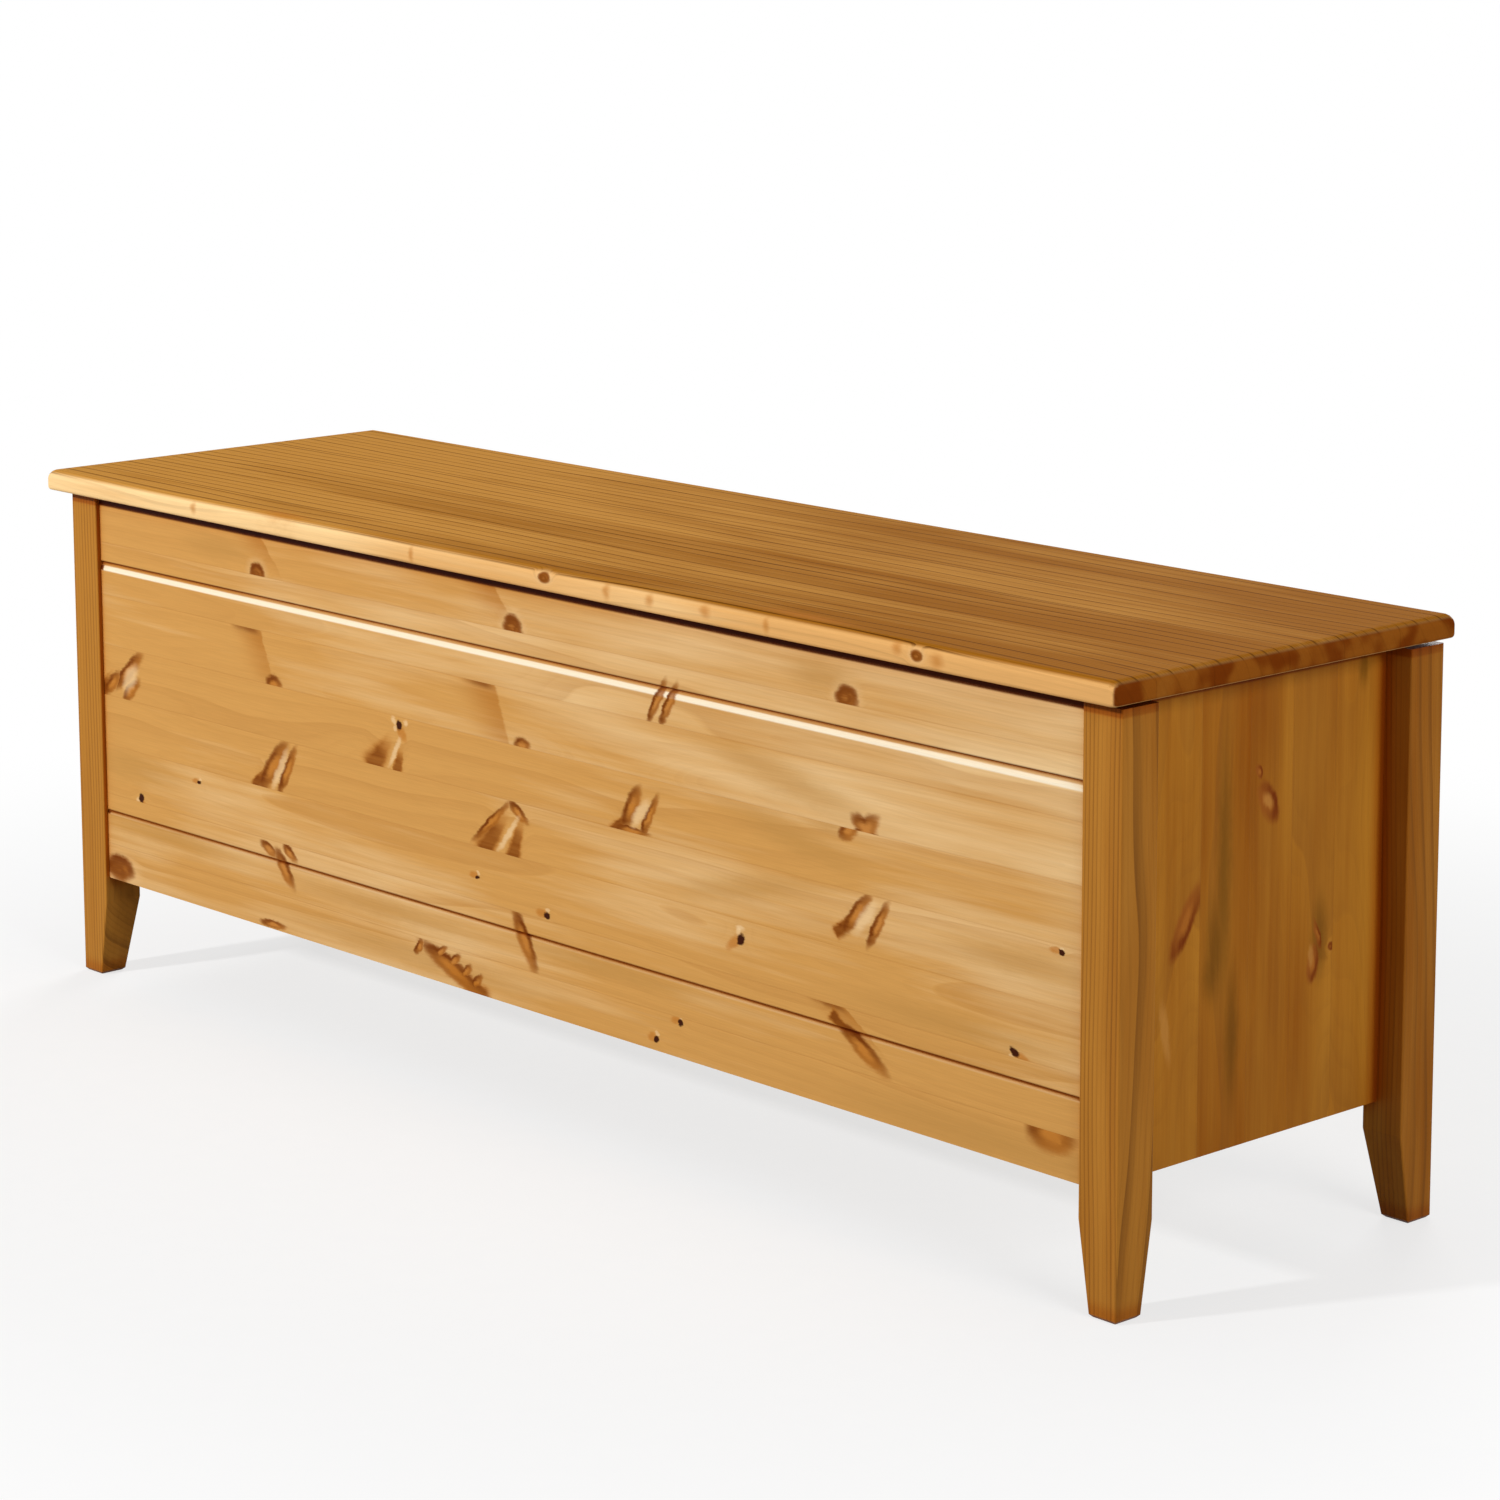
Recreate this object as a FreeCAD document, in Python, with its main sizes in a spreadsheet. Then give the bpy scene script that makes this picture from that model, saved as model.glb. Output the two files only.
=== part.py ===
import FreeCAD, Part
import math
import os
import re
import Sketcher

# Pine blanket chest: a long panelled case on four square tapered legs, with a hinged lid that two
# slotted stays hold open.
#
# Frame: +X runs along the chest, the front faces -Y, +Z is up. The origin is on the floor, under the
# middle of the whole chest. Sizes are in millimetres and angles in degrees.

LEFT, MIDDLE, RIGHT = -1, 0, 1
SIDES = ((LEFT, "left"), (RIGHT, "right"))
PLACES = ((LEFT, "left"), (MIDDLE, "middle"), (RIGHT, "right"))
BOTH_WAYS = (-1, 1)
ROW_OF_THREE = (-1, 0, 1)

CASE_KNUCKLES = 3
LID_KNUCKLES = 2
LONG_CLEAT_SCREWS = 6

# a driver's cross, as shares of the diameter of the head that it is cut into
CROSS_SPAN_SHARE = 0.5
CROSS_WIDTH_SHARE = 0.13

# two numbers closer than this are equal, in millimetres
SAME = 1e-4

DRIVING_SIZES = {
    # the whole chest
    "seat_height": 460,
    "case_length": 1270,
    "case_depth": 345,
    # lid board
    "lid_thickness": 18,
    "lid_front_overhang": 20,
    "lid_end_overhang": 10,
    "lid_rear_overhang": 2,
    "lid_corner_round": 5,
    "lid_top_round": 8,
    "lid_under_round": 3,
    "lid_gap": 5,
    # legs
    "leg_section": 37,
    "foot_section": 26,
    "taper_height": 69,
    "leg_arris_round": 1.5,
    "foot_bevel": 2.5,
    # panels
    "skirt_height": 92,
    "panel_thickness": 18,
    "panel_recess": 4,
    "side_thickness": 13,
    "upper_groove_height": 381,
    "upper_groove_width": 6.5,
    "upper_groove_depth": 3,
    "lower_groove_height": 155,
    "lower_groove_width": 3.2,
    "lower_groove_depth": 2.4,
    # joints between panels and legs
    "joint_end_inset": 26,
    "cam_inset": 66,
    "panel_dowel_diameter": 8,
    "side_dowel_diameter": 6,
    "dowel_length": 30,
    "dowel_bevel": 1,
    "cam_diameter": 15,
    "cam_depth": 12.5,
    "cam_setback": 34,
    "cam_bolt_diameter": 6,
    "cam_bolt_thread": 11,
    "cam_bolt_neck": 4.6,
    "cam_bolt_head": 7,
    "cam_bolt_head_length": 3,
    "cam_clearance": 0.3,
    "cam_recess_depth": 2.5,
    # floor, its cleats and the cross bearer
    "floor_thickness": 6,
    "floor_clearance": 0.5,
    "cleat_width": 18,
    "cleat_height": 18,
    "cleat_lift": 2,
    "bearer_width": 40,
    "cleat_screw_margin": 60,
    "cross_screw_spacing": 120,
    # wood screws
    "screw_diameter": 3.5,
    "screw_head_diameter": 7,
    "screw_head_depth": 2.2,
    "screw_recess_depth": 1.3,
    "cleat_screw_length": 28,
    "floor_screw_length": 16,
    "batten_screw_length": 30,
    "hinge_screw_diameter": 2.8,
    "hinge_screw_head": 5.4,
    "hinge_screw_head_depth": 1.5,
    "hinge_screw_recess_depth": 0.9,
    "hinge_screw_length": 14,
    "drill_clearance": 0.06,
    # lid battens
    "batten_width": 45,
    "batten_thickness": 18,
    "batten_end_clearance": 12,
    "batten_end_bevel": 9,
    "batten_end_inset": 98,
    "batten_screw_spacing": 105,
    # hinges
    "hinge_end_inset": 148,
    "hinge_length": 60,
    "leaf_thickness": 1.2,
    "leaf_edge_margin": 2,
    "leaf_notch_clearance": 0.5,
    "knuckle_play": 0.3,
    "pin_diameter": 2.4,
    "pin_clearance": 0.05,
    "pin_head_diameter": 4.5,
    "pin_head_length": 1.2,
    "pin_head_bevel": 0.5,
    "hinge_screw_spacing": 21,
    # lid stays
    "lid_open_angle": 100,
    "stay_radius": 150,
    "stud_angle": 34,
    "pivot_angle": 6,
    "arm_width": 16,
    "arm_thickness": 2,
    "stay_side_play": 0.4,
    "stud_diameter": 6,
    "slot_clearance": 0.4,
    "stud_head_diameter": 11,
    "stud_head_length": 2,
    "stud_head_bevel": 0.9,
    "stud_flange_diameter": 18,
    "stud_flange_length": 2,
    "stud_collar_diameter": 10,
    "stud_collar_length": 3.6,
    "stud_screw_diameter": 4,
    "stud_screw_length": 10,
    "bracket_thickness": 2,
    "bracket_length": 46,
    "bracket_reach": 18,
    "bracket_screw_spacing": 32,
    "bracket_screw_length": 14,
    "rivet_diameter": 5,
    "rivet_head_diameter": 9,
    "rivet_head_length": 1.6,
    "rivet_head_bevel": 0.8,
    # pads that the closed lid rests on
    "pad_diameter": 12,
    "pad_top_diameter": 8,
    "pad_rim_height": 1.8,
    "pad_end_inset": 398,
}

DERIVED_SIZES = {
    "case_height": "seat_height - lid_thickness - lid_gap",
    "knuckle_radius": "lid_gap / 2",
    "case_front": "-(case_depth + max(knuckle_radius; lid_rear_overhang) - lid_front_overhang) / 2",
    "case_rear": "case_front + case_depth",
    "hinge_height": "case_height + lid_gap / 2",
    "lid_underside": "case_height + lid_gap",
    "inner_end": "case_length / 2 - leg_section",
    "batten_x": "inner_end - batten_end_inset",
    "hinge_x": "inner_end - hinge_end_inset",
    "pad_x": "inner_end - pad_end_inset",
    "inner_front": "case_front + panel_recess + panel_thickness",
    "inner_rear": "case_rear - panel_recess - panel_thickness",
    "panel_height": "case_height - skirt_height",
    "panel_middle_height": "skirt_height + panel_height / 2",
    "front_middle": "inner_front - panel_thickness / 2",
    "rear_middle": "inner_rear + panel_thickness / 2",
    "side_middle": "inner_end + side_thickness / 2",
    "cleat_base": "skirt_height + cleat_lift",
    "cleat_middle": "cleat_base + cleat_height / 2",
    "floor_base": "cleat_base + cleat_height",
    "floor_top": "floor_base + floor_thickness",
    "cavity_middle": "(inner_front + inner_rear) / 2",
    "cleat_screw_pitch": "2 * (inner_end - cleat_screw_margin) / %d" % (LONG_CLEAT_SCREWS - 1),
    "leaf_width": "panel_recess + panel_thickness - leaf_edge_margin",
    "knuckle_pitch": "hinge_length / %d" % (CASE_KNUCKLES + LID_KNUCKLES),
    "stay_closed_reach": "2 * stay_radius * sin((stud_angle - pivot_angle) / 2)",
    "stay_open_reach": "2 * stay_radius * sin((lid_open_angle + stud_angle - pivot_angle) / 2)",
    "pivot_y": "case_rear - stay_radius * cos(pivot_angle)",
    "pivot_z": "hinge_height - stay_radius * sin(pivot_angle)",
    "pivot_drop": "lid_underside - pivot_z",
    "stud_y": "case_rear - stay_radius * cos(stud_angle)",
    "stud_z": "hinge_height - stay_radius * sin(stud_angle)",
    "arm_lean": "(stud_angle + pivot_angle) / 2",
    "arm_inset": "stud_flange_length + stud_collar_length + stay_side_play",
    "ear_inset": "arm_inset + arm_thickness + stay_side_play",
}

doc = FreeCAD.newDocument("BlanketChest")
sizes = doc.addObject("Spreadsheet::Sheet", "Sizes")
alias_pattern = re.compile(r"\b(" + "|".join([*DRIVING_SIZES, *DERIVED_SIZES]) + r")\b")
nodes = []


# ---------------------------------------------------------------- sizes and placing

def fill_sheet():
    """Writes every size into the sheet, each in a cell with its own alias."""
    rows = [(name, str(number)) for name, number in DRIVING_SIZES.items()]
    rows += [(name, "=" + text) for name, text in DERIVED_SIZES.items()]
    for row, (name, content) in enumerate(rows, start=1):
        sizes.set("A%d" % row, name)
        sizes.set("B%d" % row, content)
        sizes.setAlias("B%d" % row, name)
    doc.recompute()


def formula(text):
    """The expression with each size's name pointing at its cell."""
    return alias_pattern.sub(r"Sizes.\1", str(text))


def value(text):
    """The number that an expression of size names gives now."""
    return float(sizes.evalExpression(formula(text)))


def bind(thing, **expressions):
    """Ties properties of an object to expressions of size names."""
    for name, text in expressions.items():
        thing.setExpression(name, formula(text))


def facing(z_axis, x_axis):
    """The turn that brings a piece's own Z and X to these directions."""
    local_z = FreeCAD.Vector(*z_axis)
    local_x = FreeCAD.Vector(*x_axis)
    return FreeCAD.Rotation(local_x, local_z.cross(local_x), local_z, "ZXY")


def place(thing, x, y, z, turn=None):
    """Turns an object about its own origin and ties its position to the sheet."""
    if turn is not None:
        thing.Placement = FreeCAD.Placement(FreeCAD.Vector(), turn)
    for axis, text in zip("xyz", (x, y, z)):
        thing.setExpression("Placement.Base." + axis, formula(text))
    return thing


def keep(thing, label):
    """Gives a finished sub-part its label and puts it on the list of nodes."""
    thing.Label = label
    nodes.append(thing)
    return thing


# ---------------------------------------------------------------- sketches and features

def new_body(name):
    return doc.addObject("PartDesign::Body", name)


def new_sketch(body, plane, offset="0"):
    """A sketch on one of the body's own origin planes, moved along that plane's normal."""
    sketch = body.newObject("Sketcher::SketchObject", body.Name + "_sketch")
    face = next(item for item in body.Origin.OriginFeatures if item.Role == plane + "_Plane")
    sketch.AttachmentSupport = [(face, "")]
    sketch.MapMode = "FlatFace"
    sketch.setExpression("AttachmentOffset.Base.z", formula(offset))
    return sketch


def fix_coordinate(sketch, kind, geometry, point, text):
    """Holds one coordinate of a sketch point at an expression, measured from the sketch's origin."""
    axis_line = -2 if kind == "DistanceX" else -1
    amount = value(text)
    if abs(amount) < SAME:
        sketch.addConstraint(Sketcher.Constraint("PointOnObject", geometry, point, axis_line))
        return
    ends = (-1, 1, geometry, point) if amount > 0 else (geometry, point, -1, 1)
    index = sketch.addConstraint(Sketcher.Constraint(kind, *ends, abs(amount)))
    sketch.setExpression("Constraints[%d]" % index, formula(text if amount > 0 else "-(%s)" % text))


def draw_polygon(sketch, corners):
    """A closed outline of straight lines, with each corner held at its two expressions."""
    points = [FreeCAD.Vector(value(x), value(y), 0) for x, y in corners]
    first = sketch.GeometryCount
    count = len(corners)
    for index in range(count):
        sketch.addGeometry(Part.LineSegment(points[index], points[(index + 1) % count]))
    for index, (x, y) in enumerate(corners):
        following = first + (index + 1) % count
        sketch.addConstraint(Sketcher.Constraint("Coincident", first + index, 2, following, 1))
        fix_coordinate(sketch, "DistanceX", first + index, 1, x)
        fix_coordinate(sketch, "DistanceY", first + index, 1, y)


def draw_rectangle(sketch, low_x, low_y, high_x, high_y):
    draw_polygon(sketch, [(low_x, low_y), (high_x, low_y), (high_x, high_y), (low_x, high_y)])


def draw_circle(sketch, x, y, radius):
    centre = FreeCAD.Vector(value(x), value(y), 0)
    circle = sketch.addGeometry(Part.Circle(centre, FreeCAD.Vector(0, 0, 1), value(radius)))
    fix_coordinate(sketch, "DistanceX", circle, 3, x)
    fix_coordinate(sketch, "DistanceY", circle, 3, y)
    index = sketch.addConstraint(Sketcher.Constraint("Radius", circle, value(radius)))
    sketch.setExpression("Constraints[%d]" % index, formula(radius))


def draw_slot(sketch, start, end, radius):
    """A round-ended outline along the sketch's X axis between two end centres."""
    r = value(radius)
    upward = FreeCAD.Vector(0, 0, 1)
    rise = FreeCAD.Vector(0, r, 0)
    start_centre = FreeCAD.Vector(value(start), 0, 0)
    end_centre = FreeCAD.Vector(value(end), 0, 0)
    end_round = Part.Circle(end_centre, upward, r)
    start_round = Part.Circle(start_centre, upward, r)
    upper = sketch.addGeometry(Part.LineSegment(start_centre + rise, end_centre + rise))
    far = sketch.addGeometry(Part.ArcOfCircle(end_round, -math.pi / 2, math.pi / 2))
    lower = sketch.addGeometry(Part.LineSegment(end_centre - rise, start_centre - rise))
    near = sketch.addGeometry(Part.ArcOfCircle(start_round, math.pi / 2, 3 * math.pi / 2))
    for pair in ((upper, 2, far, 2), (far, 1, lower, 1), (lower, 2, near, 2), (near, 1, upper, 1)):
        sketch.addConstraint(Sketcher.Constraint("Tangent", *pair))
    sketch.addConstraint(Sketcher.Constraint("Horizontal", upper))
    sketch.addConstraint(Sketcher.Constraint("Equal", far, near))
    fix_coordinate(sketch, "DistanceX", near, 3, start)
    fix_coordinate(sketch, "DistanceX", far, 3, end)
    sketch.addConstraint(Sketcher.Constraint("PointOnObject", near, 3, -1))
    index = sketch.addConstraint(Sketcher.Constraint("Radius", far, r))
    sketch.setExpression("Constraints[%d]" % index, formula(radius))


def add_pad(body, sketch, length, reverse=False):
    pad = body.newObject("PartDesign::Pad", body.Name + "_pad")
    pad.Profile = sketch
    pad.Reversed = reverse
    bind(pad, Length=length)
    doc.recompute()
    return pad


def add_pocket(body, sketch, depth=None, reverse=False):
    """Cuts a sketch into the body, right through when no depth is given, and tests that it cut."""
    volume_before = body.Shape.Volume
    pocket = body.newObject("PartDesign::Pocket", body.Name + "_pocket")
    pocket.Profile = sketch
    pocket.Reversed = reverse
    if depth is None:
        pocket.Type = "ThroughAll"
    else:
        bind(pocket, Length=depth)
    doc.recompute()
    if body.Shape.Volume >= volume_before:
        raise ValueError("a pocket of %s points away from the solid" % body.Name)
    return pocket


def repeat_along_x(body, feature, step, count):
    """Repeats a feature of the body along its own X axis."""
    pattern = body.newObject("PartDesign::LinearPattern", body.Name + "_pattern")
    pattern.Originals = [feature]
    pattern.Direction = (next(a for a in body.Origin.OriginFeatures if a.Role == "X_Axis"), [""])
    pattern.Mode = "Spacing"
    pattern.Occurrences = count
    bind(pattern, Offset=step)
    body.Tip = pattern
    doc.recompute()
    return pattern


def dress_edges(body, kind, property_name, size, chosen):
    """A fillet or chamfer on the edges of the body's tip that the test picks out."""
    base = body.Tip
    names = ["Edge%d" % (i + 1) for i, edge in enumerate(base.Shape.Edges) if chosen(edge)]
    feature = body.newObject("PartDesign::" + kind, body.Name + "_" + kind.lower())
    feature.Base = (base, names)
    feature.setExpression(property_name, formula(size))
    doc.recompute()
    return feature


def round_edges(body, radius, chosen):
    return dress_edges(body, "Fillet", "Radius", radius, chosen)


def bevel_edges(body, size, chosen):
    return dress_edges(body, "Chamfer", "Size", size, chosen)


def lies_at(edge, axis, level):
    """True when the whole edge lies at one level of an axis."""
    box = edge.BoundBox
    low, high = {"x": (box.XMin, box.XMax), "y": (box.YMin, box.YMax), "z": (box.ZMin, box.ZMax)}[axis]
    return abs(low - level) < SAME and abs(high - level) < SAME


def turned(name, profile):
    """A piece turned about its own Z axis from half its outline, given as radius and height."""
    body = new_body(name)
    sketch = new_sketch(body, "XZ")
    draw_polygon(sketch, profile)
    turning = body.newObject("PartDesign::Revolution", name + "_turning")
    turning.Profile = sketch
    turning.ReferenceAxis = (sketch, ["V_Axis"])
    turning.Angle = 360
    doc.recompute()
    return body


def cross_recess(body, head_diameter, depth):
    """A driver's cross cut down into the piece from its own top plane."""
    half_span = "%s * %g / 2" % (head_diameter, CROSS_SPAN_SHARE)
    half_width = "%s * %g / 2" % (head_diameter, CROSS_WIDTH_SHARE)
    for half_x, half_y in ((half_span, half_width), (half_width, half_span)):
        sketch = new_sketch(body, "XY")
        draw_rectangle(sketch, "-(%s)" % half_x, "-(%s)" % half_y, half_x, half_y)
        add_pocket(body, sketch, depth)


# ---------------------------------------------------------------- groups and drilled boards

def copies(name, source, spots):
    """Copies of one piece, each at its spot: x, y and z expressions and a turn."""
    links = []
    for spot in spots:
        link = doc.addObject("App::Link", name + "_copy")
        link.setLink(source)
        links.append(place(link, *spot))
    group = doc.addObject("Part::Compound", name)
    group.Links = links
    return group


def fasteners(label, make, spots):
    """A node of like fasteners, and the bores that they need in what they join."""
    keep(copies(label + "_group", make(label + "_pattern", False), spots), label)
    return copies(label + "_bores", make(label + "_bore", True), spots)


def board(name, low, length, width, height):
    """A plain board from its lowest corner and its three extents."""
    box = doc.addObject("Part::Box", name)
    bind(box, Length=length, Width=width, Height=height)
    return place(box, *low)


def drilled(label, blank, *bores):
    """The blank with every bore cut out of it."""
    for index, bore in enumerate(bores):
        cut = doc.addObject("Part::Cut", "%s_cut%d" % (label, index))
        cut.Base = blank
        cut.Tool = bore
        blank = cut
    return keep(blank, label)


# ---------------------------------------------------------------- fastener patterns

def grown(size, is_bore):
    """A radius or length of a fastener, or the same in the bore that takes it."""
    return "(%s + drill_clearance)" % size if is_bore else "(%s)" % size


SCREW_KINDS = {
    "wood": ("screw_diameter", "screw_head_diameter", "screw_head_depth", "screw_recess_depth"),
    "hinge": ("hinge_screw_diameter", "hinge_screw_head", "hinge_screw_head_depth",
              "hinge_screw_recess_depth"),
}


def make_dowel(diameter):
    """A maker of bevelled dowels, centred on their own origin along Z."""
    def make(name, is_bore):
        radius = grown(diameter + " / 2", is_bore)
        half = grown("dowel_length / 2", is_bore)
        return turned(name, [
            ("0", "-" + half),
            (radius + " - dowel_bevel", "-" + half),
            (radius, "-%s + dowel_bevel" % half),
            (radius, half + " - dowel_bevel"),
            (radius + " - dowel_bevel", half),
            ("0", half),
        ])
    return make


def make_screw(kind, length):
    """A maker of countersunk screws: head flush at their own origin, point towards -Z."""
    diameter, head_diameter, head_depth, recess_depth = SCREW_KINDS[kind]

    def make(name, is_bore):
        head = grown(head_diameter + " / 2", is_bore)
        shank = grown(diameter + " / 2", is_bore)
        body = turned(name, [
            ("0", "0"),
            (head, "0"),
            (shank, "-" + head_depth),
            (shank, "%s - %s" % (diameter, length)),
            ("0", "-" + grown(length, is_bore)),
        ])
        if not is_bore:
            cross_recess(body, head_diameter, recess_depth)
        return body
    return make


def make_cam_bolt(name, is_bore):
    """A cam bolt: thread towards -Z from the joint's face, necked shank and head towards +Z."""
    thread = grown("cam_bolt_diameter / 2", is_bore)
    thread_end = "-" + grown("cam_bolt_thread", is_bore)
    head_top = "cam_setback + cam_bolt_head_length / 2"
    if is_bore:
        reach = head_top + " + cam_clearance"
        bore_radius = "cam_bolt_head / 2 + cam_clearance"
        beyond_the_joint = [(bore_radius, "0"), (bore_radius, reach), ("0", reach)]
    else:
        head_base = "cam_setback - cam_bolt_head_length / 2"
        beyond_the_joint = [
            ("cam_bolt_neck / 2", "0"),
            ("cam_bolt_neck / 2", head_base),
            ("cam_bolt_head / 2", head_base),
            ("cam_bolt_head / 2", head_top),
            ("0", head_top),
        ]
    return turned(name, [("0", thread_end), (thread, thread_end), (thread, "0")] + beyond_the_joint)


def make_cam(name, is_bore):
    """A cam disc: face flush at its own origin, body towards -Z, bolt's way in from +X."""
    body = new_body(name)
    sketch = new_sketch(body, "XY")
    draw_circle(sketch, "0", "0", grown("cam_diameter / 2", is_bore))
    add_pad(body, sketch, grown("cam_depth", is_bore), reverse=True)
    if not is_bore:
        way_in = new_sketch(body, "YZ", "-(cam_bolt_head_length / 2 + cam_clearance)")
        draw_circle(way_in, "0", "-panel_thickness / 2", "cam_bolt_head / 2 + cam_clearance")
        add_pocket(body, way_in, reverse=True)
        cross_recess(body, "cam_diameter", "cam_recess_depth")
    return body


def make_pad():
    """A rubber pad that stands on its own origin with a flat top."""
    return turned("pad_pattern", [
        ("0", "0"),
        ("pad_diameter / 2", "0"),
        ("pad_diameter / 2", "pad_rim_height"),
        ("pad_top_diameter / 2", "lid_gap"),
        ("0", "lid_gap"),
    ])


# ---------------------------------------------------------------- joints of the case

def joint_heights():
    """Heights of the dowels in every upright joint."""
    return ("skirt_height + joint_end_inset", "panel_middle_height", "case_height - joint_end_inset")


def make_case_joints():
    """Dowels, cam bolts and cams, with their bores."""
    long_panels = ((-1, "front_middle", "inner_front"), (1, "rear_middle", "inner_rear"))
    along_x = facing((1, 0, 0), (0, 0, 1))
    along_y = facing((0, 1, 0), (0, 0, 1))
    dowel_spots, side_spots, bolt_spots, cam_spots = [], [], [], []
    for side, _ in SIDES:
        joint_x = "%d * inner_end" % side
        for height in joint_heights():
            dowel_spots += [(joint_x, middle, height, along_x) for _, middle, _ in long_panels]
            for joint_y in ("case_front + leg_section", "case_rear - leg_section"):
                side_spots.append(("%d * side_middle" % side, joint_y, height, along_y))
        for height in ("skirt_height + cam_inset", "case_height - cam_inset"):
            for outward, middle, inner_face in long_panels:
                bolt_spots.append((joint_x, middle, height, facing((-side, 0, 0), (0, 0, 1))))
                cam_x = "%d * (inner_end - cam_setback)" % side
                cam_turn = facing((0, -outward, 0), (side, 0, 0))
                cam_spots.append((cam_x, inner_face, height, cam_turn))
    return {
        "dowels": fasteners("panel_dowels", make_dowel("panel_dowel_diameter"), dowel_spots),
        "side_dowels": fasteners("side_dowels", make_dowel("side_dowel_diameter"), side_spots),
        "bolts": fasteners("cam_bolts", make_cam_bolt, bolt_spots),
        "cams": fasteners("cam_discs", make_cam, cam_spots),
    }


# ---------------------------------------------------------------- legs and panels

def make_leg_blank():
    """A leg with its outer corner at its own origin; the two inner faces taper to the foot."""
    body = new_body("leg_blank")
    section = new_sketch(body, "XY")
    draw_rectangle(section, "0", "0", "leg_section", "leg_section")
    add_pad(body, section, "case_height")
    wedge = [("foot_section", "0"), ("leg_section", "0"), ("leg_section", "taper_height")]
    taper_x = new_sketch(body, "XZ")
    draw_polygon(taper_x, wedge)
    add_pocket(body, taper_x)
    taper_y = new_sketch(body, "YZ")
    draw_polygon(taper_y, wedge)
    add_pocket(body, taper_y, reverse=True)
    bevel_edges(body, "foot_bevel", lambda e: lies_at(e, "z", 0))
    round_edges(body, "leg_arris_round", lambda e: e.BoundBox.ZLength > value("foot_bevel") * 2)
    return body


def make_legs(joints):
    blank = make_leg_blank()
    corners = (
        ("leg_front_left", "-case_length / 2", "case_front", 0),
        ("leg_front_right", "case_length / 2", "case_front", 90),
        ("leg_rear_right", "case_length / 2", "case_rear", 180),
        ("leg_rear_left", "-case_length / 2", "case_rear", 270),
    )
    for label, x, y, angle in corners:
        leg = doc.addObject("App::Link", label + "_stock")
        leg.setLink(blank)
        place(leg, x, y, "0", FreeCAD.Rotation(FreeCAD.Vector(0, 0, 1), angle))
        drilled(label, leg, joints["dowels"], joints["side_dowels"], joints["bolts"])


def make_front_panel(joints, cleat_bores):
    """The front board, with a stepped groove above and a narrow groove below."""
    body = new_body("front_board")
    section = new_sketch(body, "XY")
    draw_rectangle(section, "0", "0", "2 * inner_end", "panel_thickness")
    add_pad(body, section, "panel_height")
    upper = "(upper_groove_height - skirt_height)"
    lower = "(lower_groove_height - skirt_height)"
    for top, depth, width, heel in (
            (upper, "upper_groove_depth", "upper_groove_width", "0"),
            (lower, "lower_groove_depth", "lower_groove_width", "lower_groove_width / 4")):
        groove = new_sketch(body, "YZ")
        foot = "%s - %s" % (top, width)
        draw_polygon(groove, [("0", top), (depth, "%s - %s" % (top, heel)), ("0", foot)])
        add_pocket(body, groove, reverse=True)
    place(body, "-inner_end", "case_front + panel_recess", "skirt_height")
    drilled("front_panel", body, joints["dowels"], joints["bolts"], joints["cams"], cleat_bores)


def make_plain_panels(joints, cleat_bores, hinge_bores, stud_bores):
    rear = board("rear_board", ("-inner_end", "inner_rear", "skirt_height"),
                 "2 * inner_end", "panel_thickness", "panel_height")
    drilled("back_panel", rear, joints["dowels"], joints["bolts"], joints["cams"], cleat_bores, hinge_bores)
    for side, side_name in SIDES:
        low_x = "inner_end" if side == RIGHT else "-(inner_end + side_thickness)"
        blank = board("side_board_" + side_name, (low_x, "case_front + leg_section", "skirt_height"),
                      "side_thickness", "case_depth - 2 * leg_section", "panel_height")
        drilled("side_panel_" + side_name, blank, joints["side_dowels"], cleat_bores, stud_bores)


# ---------------------------------------------------------------- floor

def make_floor_fixings():
    """Cleat screws, floor screws and bearer dowels, with their bores."""
    long_cleats = ((-1, "inner_front + cleat_width"), (1, "inner_rear - cleat_width"))
    long_cleat_steps = [index - (LONG_CLEAT_SCREWS - 1) / 2 for index in range(LONG_CLEAT_SCREWS)]
    cross_rows = ["cavity_middle + %d * cross_screw_spacing / 2" % way for way in BOTH_WAYS]
    cleat_spots, floor_spots, dowel_spots = [], [], []
    for outward, inner_face in long_cleats:
        turn = facing((0, -outward, 0), (1, 0, 0))
        for step in long_cleat_steps:
            cleat_spots.append(("%g * cleat_screw_pitch" % step, inner_face, "cleat_middle", turn))
        dowel_spots.append(("0", inner_face, "cleat_middle", facing((0, 1, 0), (1, 0, 0))))
        middle_y = "%s + %d * cleat_width / 2" % (inner_face, outward)
        floor_spots += [("%d * cleat_screw_pitch" % step, middle_y, "floor_top", None)
                        for step in (-2, -1, 1, 2)]
    for side, _ in SIDES:
        x = "%d * (inner_end - cleat_width)" % side
        turn = facing((-side, 0, 0), (0, 0, 1))
        cleat_spots += [(x, y, "cleat_middle", turn) for y in cross_rows]
    floor_spots += [("0", y, "floor_top", None) for y in cross_rows]
    return {
        "cleats": fasteners("cleat_screws", make_screw("wood", "cleat_screw_length"), cleat_spots),
        "floor": fasteners("floor_screws", make_screw("wood", "floor_screw_length"), floor_spots),
        "bearer": fasteners("bearer_dowels", make_dowel("panel_dowel_diameter"), dowel_spots),
    }


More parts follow.
